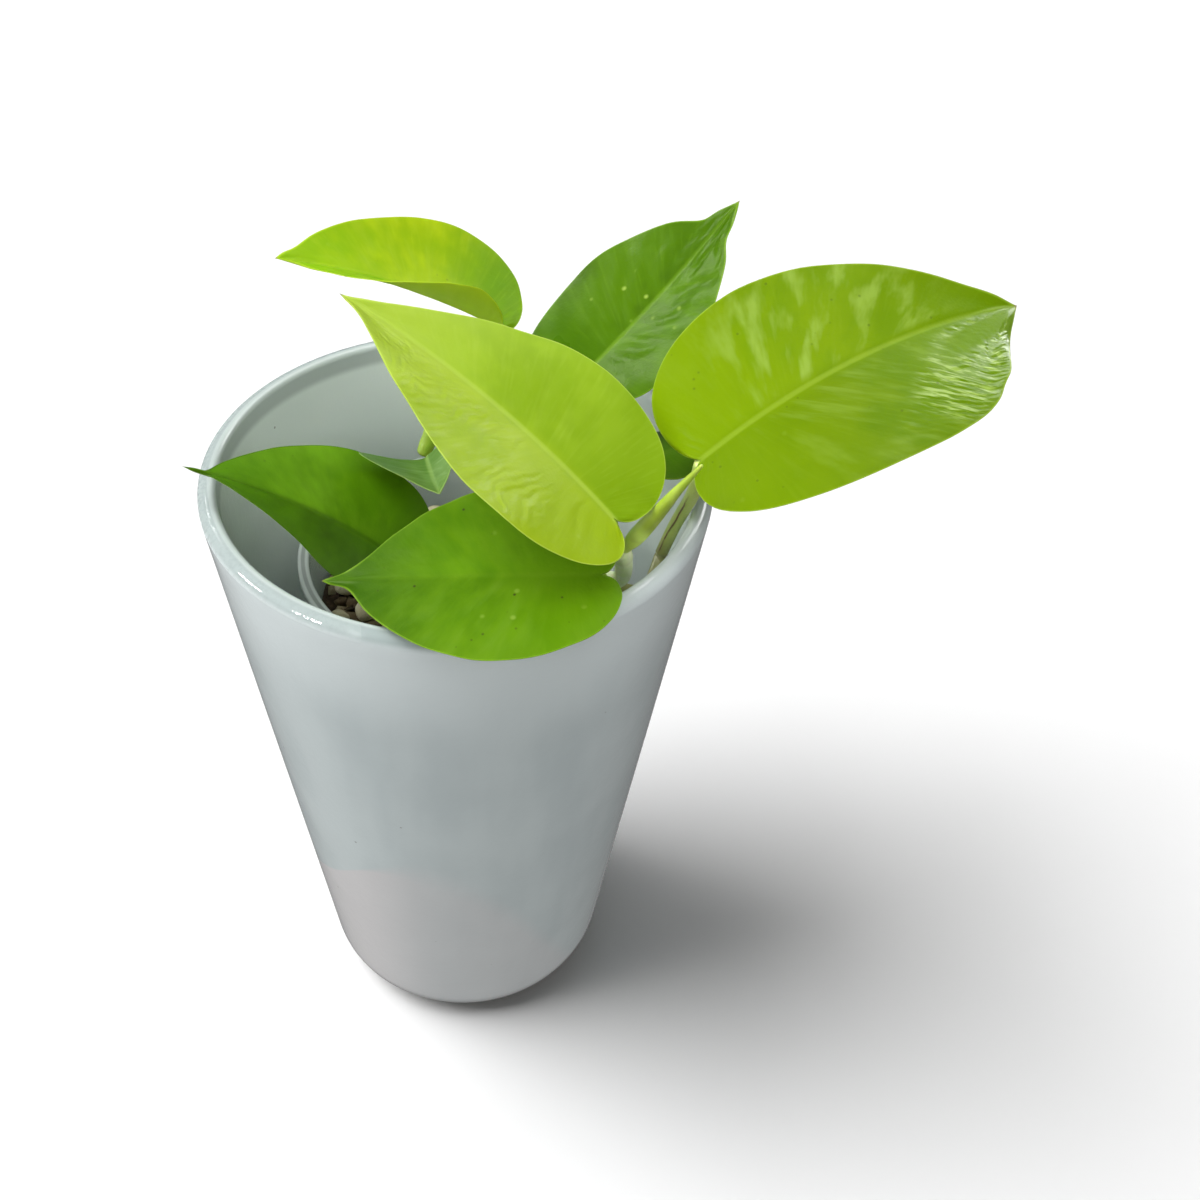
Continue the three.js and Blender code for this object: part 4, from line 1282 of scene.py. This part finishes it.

# %% [markdown]
# ### The blade's finish
#
# The skin of the leaf is waxy and half glossy. Its colour is not even: the midrib and a thin line
# along the margin are paler, side veins show faintly, and slow clouds of a deeper green lie between
# them. Soft pale patches of painted sheen and a few specks lie on some blades. Where a blade is
# wrinkled, silvery streaks of painted sheen run along its side veins, and a thin coat shines most
# on those streaks. The underside is duller and paler. Light comes through a blade, so it has a
# little subsurface scattering. Each leaf's look is a row of colours and strengths: two tones for
# each half, one for each lobe, one for the tip, and the tones of the midrib, the painted sheen and
# the underside. On some leaves these tones are painted light and shade, as noted in the table.

# %% Blade finish
LEAF_LOOKS = {
    "leaf_centre": {
        "slot": "leaf_lime", "left": ((0.24, 0.36, 0.005), (0.29, 0.41, 0.01)),
        "right": ((0.19, 0.32, 0.003), (0.24, 0.38, 0.01)),
        "hearts": ((0.26, 0.38, 0.003), (0.16, 0.28, 0.002)), "tip": (0.3, 0.42, 0.03),
        "rib": (0.44, 0.58, 0.09), "sheen": (0.42, 0.52, 0.12), "under": (0.34, 0.5, 0.1),
        "ribbed": 0.4, "bloom": 0.1, "streaks": 0.06, "dry_gloss": 0.12, "wax": 0.26,
        "gloss": 0.36, "pale_specks": 0.3, "dark_specks": 0.0},
    "leaf_right": {
        "slot": "leaf_lime", "left": ((0.12, 0.22, 0.0), (0.15, 0.25, 0.0)),
        "right": ((0.085, 0.165, 0.0), (0.11, 0.19, 0.0)),
        "hearts": ((0.17, 0.28, 0.0), (0.14, 0.24, 0.0)), "tip": (0.1, 0.19, 0.0),
        "rib": (0.26, 0.38, 0.03), "sheen": (0.26, 0.38, 0.06), "under": (0.3, 0.44, 0.08),
        "ribbed": 0.5, "bloom": 0.6, "streaks": 0.05, "dry_gloss": 0.8, "wax": 0.16, "gloss": 0.36,
        "pale_specks": 0.1, "dark_specks": 0.35},
    "leaf_back_left": {
        "slot": "leaf_lime", "left": ((0.16, 0.36, 0.002), (0.27, 0.47, 0.008)),
        "right": ((0.24, 0.38, 0.001), (0.4, 0.52, 0.006)),
        "hearts": ((0.08, 0.24, 0.0), (0.08, 0.24, 0.0)), "tip": (0.2, 0.4, 0.005),
        # its underside tone is the paler underside raised near white as painted light coming
        # through
        "rib": (0.4, 0.56, 0.03), "sheen": (0.4, 0.54, 0.08), "under": (0.7, 1.0, 0.04),
        "ribbed": 0.3, "bloom": 0.3, "streaks": 0.1, "dry_gloss": 0.0, "wax": 0.14, "gloss": 0.42,
        "pale_specks": 0.2, "dark_specks": 0.3},
    "leaf_back_right": {
        "slot": "leaf_mid_green", "left": ((0.042, 0.11, 0.0), (0.064, 0.155, 0.0)),
        "right": ((0.05, 0.13, 0.0), (0.085, 0.2, 0.002)),
        "hearts": ((0.05, 0.14, 0.0), (0.05, 0.13, 0.0)), "tip": (0.048, 0.125, 0.0),
        "rib": (0.19, 0.35, 0.02), "sheen": (0.13, 0.25, 0.03), "under": (0.25, 0.42, 0.06),
        "ribbed": 0.4, "bloom": 0.15, "streaks": 0.08, "dry_gloss": 0.0, "wax": 0.3, "gloss": 0.26,
        "pale_specks": 1.0, "dark_specks": 0.1},
    "leaf_front": {
        "slot": "leaf_mid_green", "left": ((0.06, 0.155, 0.0), (0.095, 0.21, 0.003)),
        "right": ((0.075, 0.195, 0.0), (0.11, 0.25, 0.002)),
        # its tip tone is painted shade: the tip is painted much darker than the blade
        "hearts": ((0.09, 0.21, 0.0), (0.095, 0.22, 0.0)), "tip": (0.02, 0.075, 0.0),
        "rib": (0.17, 0.31, 0.02), "sheen": (0.14, 0.26, 0.03), "under": (0.25, 0.4, 0.06),
        "ribbed": 0.12, "bloom": 0.15, "streaks": 0.05, "dry_gloss": 0.0, "wax": 0.16,
        "gloss": 0.5, "pale_specks": 0.4, "dark_specks": 1.0},
    "leaf_left": {
        # painted shade and light: the left half is painted much darker than the right
        "slot": "leaf_dark_green", "left": ((0.04, 0.11, 0.001), (0.06, 0.16, 0.002)),
        "right": ((0.085, 0.22, 0.002), (0.14, 0.32, 0.008)),
        "hearts": ((0.045, 0.13, 0.001), (0.05, 0.14, 0.001)), "tip": (0.07, 0.2, 0.002),
        "rib": (0.03, 0.085, 0.002), "sheen": (0.14, 0.28, 0.03), "under": (0.2, 0.34, 0.05),
        "ribbed": 0.5, "bloom": 0.05, "streaks": 0.05, "dry_gloss": 0.0, "wax": 0.22,
        "gloss": 0.46, "pale_specks": 0.05, "dark_specks": 0.3},
    "leaf_inner_left": {
        # its grey-green tones, bluer than the other leaves', hold a painted reflection
        "slot": "leaf_dark_green", "left": ((0.08, 0.175, 0.025), (0.145, 0.265, 0.07)),
        "right": ((0.08, 0.19, 0.025), (0.16, 0.3, 0.07)),
        "hearts": ((0.09, 0.2, 0.035), (0.09, 0.2, 0.035)), "tip": (0.12, 0.24, 0.04),
        "rib": (0.35, 0.5, 0.15), "sheen": (0.3, 0.42, 0.18), "under": (0.2, 0.34, 0.1),
        "ribbed": 0.4, "bloom": 0.3, "streaks": 0.1, "dry_gloss": 0.0, "wax": 0.25, "gloss": 0.4,
        "pale_specks": 0.5, "dark_specks": 0.0},
    "leaf_inner_right": {
        "slot": "leaf_dark_green", "left": ((0.07, 0.19, 0.001), (0.1, 0.24, 0.002)),
        "right": ((0.07, 0.19, 0.001), (0.1, 0.24, 0.002)),
        "hearts": ((0.065, 0.17, 0.001), (0.065, 0.17, 0.001)), "tip": (0.08, 0.2, 0.001),
        "rib": (0.18, 0.3, 0.02), "sheen": (0.14, 0.26, 0.04), "under": (0.2, 0.34, 0.05),
        "ribbed": 0.2, "bloom": 0.1, "streaks": 0.1, "dry_gloss": 0.0, "wax": 0.2, "gloss": 0.42,
        "pale_specks": 0.1, "dark_specks": 0.0},
}
WAX_TINT = (0.9, 1.0, 0.5, 1)  # the wax shines a little greener than white
PALE_SPECK, DARK_SPECK, DRY_TIP = (0.42, 0.56, 0.1), (0.035, 0.045, 0.008), (0.16, 0.12, 0.03)
print("leaf looks:", list(LEAF_LOOKS))


# %% The colours of a blade
class BladeFinish(Finish):
    """A finish that knows a blade's measures, and lays one layer of colour on another by them."""

    def __init__(self, name, look):
        even = {"Subsurface Weight": 0.35, "Subsurface Scale": 0.0012, "IOR": 1.42,
                "Subsurface Radius": (1.0, 1.0, 0.25), "Specular Tint": WAX_TINT,
                "Specular IOR Level": look["wax"], "Coat Roughness": 0.15}
        super().__init__(f"{name}_skin", even)
        self.look = look
        self.across, self.along, self.under = self.parts(self.attribute("blade", "Vector"))
        self.out, self.rim, self.forward = self.parts(self.attribute("reach", "Vector"))

    def streaks(self, across, along, scale, detail, roughness=0.5):
        """A cloud drawn out along the side veins: few cells across the blade and many along it."""
        where = self.vector(self.across * across, self.along * along, 0.0)
        return self.noise(where, scale, detail, roughness)

    def two_halves(self, shade):
        """Each half between its two tones by shade, then a tone for each lobe and for the tip."""
        look = self.look
        near_base = self.forward.step(0.42, 0.02) * 0.8
        near_tip = self.forward.step(0.45, 0.88) * 0.8
        left = self.mix(near_base, self.mix(shade, *look["left"]), look["hearts"][0])
        right = self.mix(near_base, self.mix(shade, *look["right"]), look["hearts"][1])
        return self.mix(near_tip, self.mix(self.across.step(-0.12, 0.12), left, right), look["tip"])

    def with_veins(self, body, veins):
        """Fine streaks and thin even side veins, both faint."""
        look = self.look
        fine = self.streaks(2, 60, 1.4, 2).step(0.52, 0.72)
        body = self.mix(fine * look["streaks"] * self.out.step(1, 5), body, look["rib"])
        vein = (self.along * (2 * np.pi * veins)).wave().step(0.9, 1.0)
        return self.mix(vein * look["streaks"] * 0.6, body, look["rib"])

    def with_painted_sheen(self, body):
        """Painted sheen in soft pale patches between midrib and tip, weaker on the right half."""
        bloom = self.streaks(1.5, 20, 1.3, 3, 0.55).step(0.46, 0.7)
        bloom = bloom * self.forward.step(0.06, 0.3) * self.forward.step(0.85, 0.6)
        bloom = bloom * self.out.step(0.5, 3) * (1 - self.across.step(-0.1, 0.2) * 0.65)
        return self.mix(bloom * self.look["bloom"], body, self.look["sheen"])

    def with_lines(self, body):
        """The paler midrib, fading towards the tip, and the thin pale margin."""
        midrib_line = self.out.step(0.95, 0.2) * (1 - self.forward * 0.6)
        body = self.mix(midrib_line * self.look["ribbed"], body, self.look["rib"])
        return self.mix(self.rim.step(0.34, 0.1) * 0.6, body, self.look["rib"])

    def with_specks(self, body, place):
        """Pale specks and smaller dark ones in loose groups, and the dry point of the tip."""
        pale = self.dots(place, 170).step(0.15, 0.03) * self.noise(place, 90, 1).step(0.48, 0.6)
        body = self.mix(pale * self.look["pale_specks"] * 0.65, body, PALE_SPECK)
        elsewhere = self.add(
            "ShaderNodeMapping", {}, {"Vector": place, "Location": (0.31, 0.17, 0.05)})
        grouped = self.noise(elsewhere, 110, 2).step(0.54, 0.62)
        dark = self.dots(elsewhere, 340).step(0.15, 0.06) * grouped
        body = self.mix(dark * self.look["dark_specks"], body, DARK_SPECK)
        return self.mix(self.forward.step(0.985, 0.998), body, DRY_TIP)


def leaf_finish(name, look, veins):
    """Layers of colour from the halves up to the specks, a waxy gloss and a coat on the streaks."""
    f = BladeFinish(name, look)
    place = f.place()
    clouds = f.noise(place, 50, 3, 0.6)
    flow = f.streaks(1.5, 16, 1.6, 3)
    body = f.two_halves((clouds * 0.75 + flow * 0.25).step(0.38, 0.6))
    body = f.with_painted_sheen(f.with_veins(body, veins))
    dry = f.attribute("dry") * look["dry_gloss"]
    # painted sheen: pale streaks in the colour of the wrinkled zone, where the coat also shines
    sheen_streaks = f.streaks(2.5, 42, 1.6, 3, 0.6).step(0.48, 0.62)
    body = f.mix(sheen_streaks * dry * f.rim.step(0.5, 2.5), body, look["sheen"])
    body = f.with_specks(f.with_lines(body), place)
    f.colour(f.mix(f.under, body, f.mix(0.7, body, look["under"])))
    f.roughness(look["gloss"] + clouds * 0.12 - 0.03 + f.under * 0.2)
    f.feed(f.shader.inputs["Coat Weight"], dry * (f.forward.step(0.55, 0.8) * 0.6 + sheen_streaks * 0.6))
    f.bump(f.noise(place, 1300, 2) * 0.4 + flow * 0.4, 0.00012)
    return f


# %% Make the blades
for name, (across_faces, along_faces) in FINENESS.items():
    points, fields = blade(name, across_faces, along_faces)
    piece = skin(f"{name}_blade", points, fields)
    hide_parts(name)
    dress(piece, leaf_finish(name, LEAF_LOOKS[name], RELIEF[name]["veins"]))
    print(piece.name, len(piece.data.polygons))

# %% [markdown]
# ## Leaf stalks and the rolled leaf
#
# A stalk leaves its stem at a node and meets the blade from below. The right leaf's stalk still has
# the dry brown edge of its sheath. The newest leaf is rolled up tight beside the centre leaf's
# stalk: a spike whose free edge shows as one spiral line.

# %% Stalks
STALKS = {
    "stalk_centre": {
        "leaf": "leaf_centre", "points": [(32.3, -36.3, 181.5), (32.3, -39, 186.5)],
        "radii": (1.3, 1.1)},
    "stalk_right": {
        "leaf": "leaf_right", "stem": "stem_front", "at": 0.6, "radii": (1.5, 1.6),
        "points": [(39.5, -19.5, 152.3), (43.5, -18.3, 151.6), (46.2, -13.8, 152.8),
                   (47.8, -11.2, 156.5), (48.7, -11.9, 161), (49.8, -13.4, 167),
                   (50.7, -16.6, 174), (51.3, -20, 180), (51.6, -23.7, 187)]},
    "stalk_back_left": {
        "leaf": "leaf_back_left", "stem": "stem_back", "at": 0.6, "radii": (1.3, 1.1),
        "points": [(6.5, 15, 153), (6.5, 18.5, 168), (9.5, 22, 186)]},
    "stalk_back_right": {
        "leaf": "leaf_back_right", "stem": "stem_back", "at": 0.78, "radii": (1.3, 1.1),
        "points": [(15, 8, 163), (20, 9.5, 174)]},
    "stalk_front": {
        "leaf": "leaf_front", "stem": "stem_front", "at": 0.66, "radii": (1.3, 1.1),
        "points": [(30, -23.5, 159.5), (29.6, -31, 166), (29.6, -40, 175)]},
    "stalk_left": {
        "leaf": "leaf_left", "stem": "stem_left", "at": 0.92, "radii": (1.2, 1),
        "points": [(-10.5, -6, 150.5)]},
    "stalk_inner_left": {
        "leaf": "leaf_inner_left", "stem": "stem_back", "at": 0.95, "radii": (1.3, 1.8),
        "behind": 2.4,
        "points": [(6, 10, 176), (0, 13, 180), (-5.5, 14.2, 177), (-7.4, 14.3, 171.5)]},
    "stalk_inner_right": {
        "leaf": "leaf_inner_right", "stem": "stem_back", "at": 0.99, "radii": (1.2, 1),
        "points": [(21, 0.5, 178.5), (31, -6, 181.5)]},
}  # at is the share of the stem's length; behind is how far behind the blade's base the stalk ends
JOINED = 0.1  # how close a drawn stalk comes to its blade, closer than the plain solid does


def stalk_route(spec):
    """From beside the stem's node, through the points, to just under the blade's base."""
    route = [np.array(p, float) for p in spec["points"]]
    if "stem" in spec:
        stem = STEMS[spec["stem"]]
        line = smooth_path(stem["points"], 200)
        spot = int(round(spec["at"] * 200))
        axis = np.gradient(line, axis=0)[spot]
        axis /= np.linalg.norm(axis)
        radius = between(stem["radii"], spec["at"])
        outwards = route[0] - line[spot]
        outwards -= axis * (outwards @ axis)
        outwards /= np.linalg.norm(outwards)
        route.insert(0, line[spot] + outwards * (radius + spec["radii"][0] * 0.8))
    place, tangent, _, normal = (v[0] for v in midrib(LEAVES[spec["leaf"]], np.array([0.0])))
    behind = spec.get("behind", 0.5)
    below = 0 if behind > spec["radii"][1] else JOINED + spec["radii"][1]
    route.append(place - normal * below - tangent * behind)
    return np.array(route)


def stalk_piece(name, spec):
    """A grooved stalk, swollen at its foot and again just under the blade."""
    path = smooth_path(stalk_route(spec), 80)
    share = np.linspace(0, 1, len(path))
    radius = between(spec["radii"], share)
    radius = radius * swelling(share, (0.0,), 0.08, 0.22) * swelling(share, (0.93,), 0.06, 0.1)
    rings, along = carried(path, radius, groove=0.22)
    piece = skin(f"{name}_petiole", rings, {"along": along})
    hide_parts(name)
    return piece


SHEATH_EDGE = 0.94  # where round the stalk the sheath's dry edge lies
GROOVE_TONE, DRY_EDGE, DRY_SHEATH = (0.55, 0.62, 0.26), (0.14, 0.075, 0.03), (0.16, 0.13, 0.05)


def stalk_finish(name, low, high, sheath=0.0):
    """From low to high along the stalk, paler in the groove; brown foot and line where sheathed."""
    rod = Finish(f"{name}_skin", {"Subsurface Weight": 0.1, "Subsurface Scale": 0.001})
    place = rod.place()
    along = rod.attribute("along")
    turn = rod.parts(rod.add("ShaderNodeTexCoord", {}, {}, "UV"))[0]
    body = rod.mix(along.step(0.1, 0.9), low, high)
    groove = (turn - 0.25).size().step(0.12, 0.02)
    body = rod.mix(groove * 0.35, body, GROOVE_TONE)
    wander = rod.noise(place, 220, 3)
    line = (turn + wander * 0.06 - SHEATH_EDGE).size().step(0.035, 0.01) * wander.step(0.25, 0.45)
    line = line * along.step(0.85, 0.7)
    body = rod.mix(line * sheath, body, DRY_EDGE)
    body = rod.mix(along.step(0.5, 0.3) * sheath * 0.75, body, DRY_SHEATH)
    rod.colour(body)
    rod.roughness(0.5)
    rod.bump(rod.noise(place, 900, 2) + line * sheath, 0.0002)
    return rod


PLAIN_STALK = stalk_finish("stalk_green", (0.3, 0.4, 0.06), (0.3, 0.45, 0.03))
SHEATHED_STALK = stalk_finish("stalk_sheathed", (0.34, 0.41, 0.11), (0.58, 0.72, 0.18), sheath=0.9)
for name, spec in STALKS.items():
    dress(stalk_piece(name, spec), SHEATHED_STALK if name == "stalk_right" else PLAIN_STALK)
print("stalks:", len(STALKS))

# %% The rolled leaf
ROLL_POINTS = [(35.3, -35, 179.2), (36.6, -36.1, 182.2), (40.4, -37.8, 189.8), (44.3, -39.7, 198),
               (48.3, -41.6, 206)]
ROLL_RADII = (1.95, 0.35)
# the foot's bright tone is painted light, lifting it in the centre leaf's shade
ROLL_FOOT_PAINTED_LIGHT, ROLL_LIME, ROLL_STREAK = (0.74, 1.0, 0.18), (0.34, 0.46, 0.04), (0.5, 0.62, 0.12)


def rolled_leaf():
    """A spike that keeps its thickness for long and then comes to a point, with the roll's edge."""
    path = smooth_path(ROLL_POINTS, 110)
    share = np.linspace(0, 1, len(path))
    radius = between(ROLL_RADII, share ** 1.5) * (1 - 0.35 * np.exp(-(share / 0.12) ** 2))
    rings, along = carried(path, radius, around=48, spiral=0.16)
    piece = skin("leaf_roll_spike", rings, {"along": along})
    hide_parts("leaf_roll")
    return piece


def roll_finish():
    """Painted light at the foot, deeper lime above, in faint streaks; light comes through it."""
    lime = Finish("rolled_leaf_skin", {"Subsurface Weight": 0.5, "Subsurface Scale": 0.003,
                                       "Subsurface Radius": (1, 1, 0.3)})
    place = lime.place()
    along = lime.attribute("along")
    streaks = lime.noise(place, 260, 2)
    body = lime.mix(along.step(0.2, 0.34), ROLL_FOOT_PAINTED_LIGHT, ROLL_LIME)
    lime.colour(lime.mix(streaks.step(0.35, 0.7) * 0.5, body, ROLL_STREAK))
    lime.roughness(0.34)
    lime.bump(streaks, 0.00015)
    return lime


dress(rolled_leaf(), roll_finish())
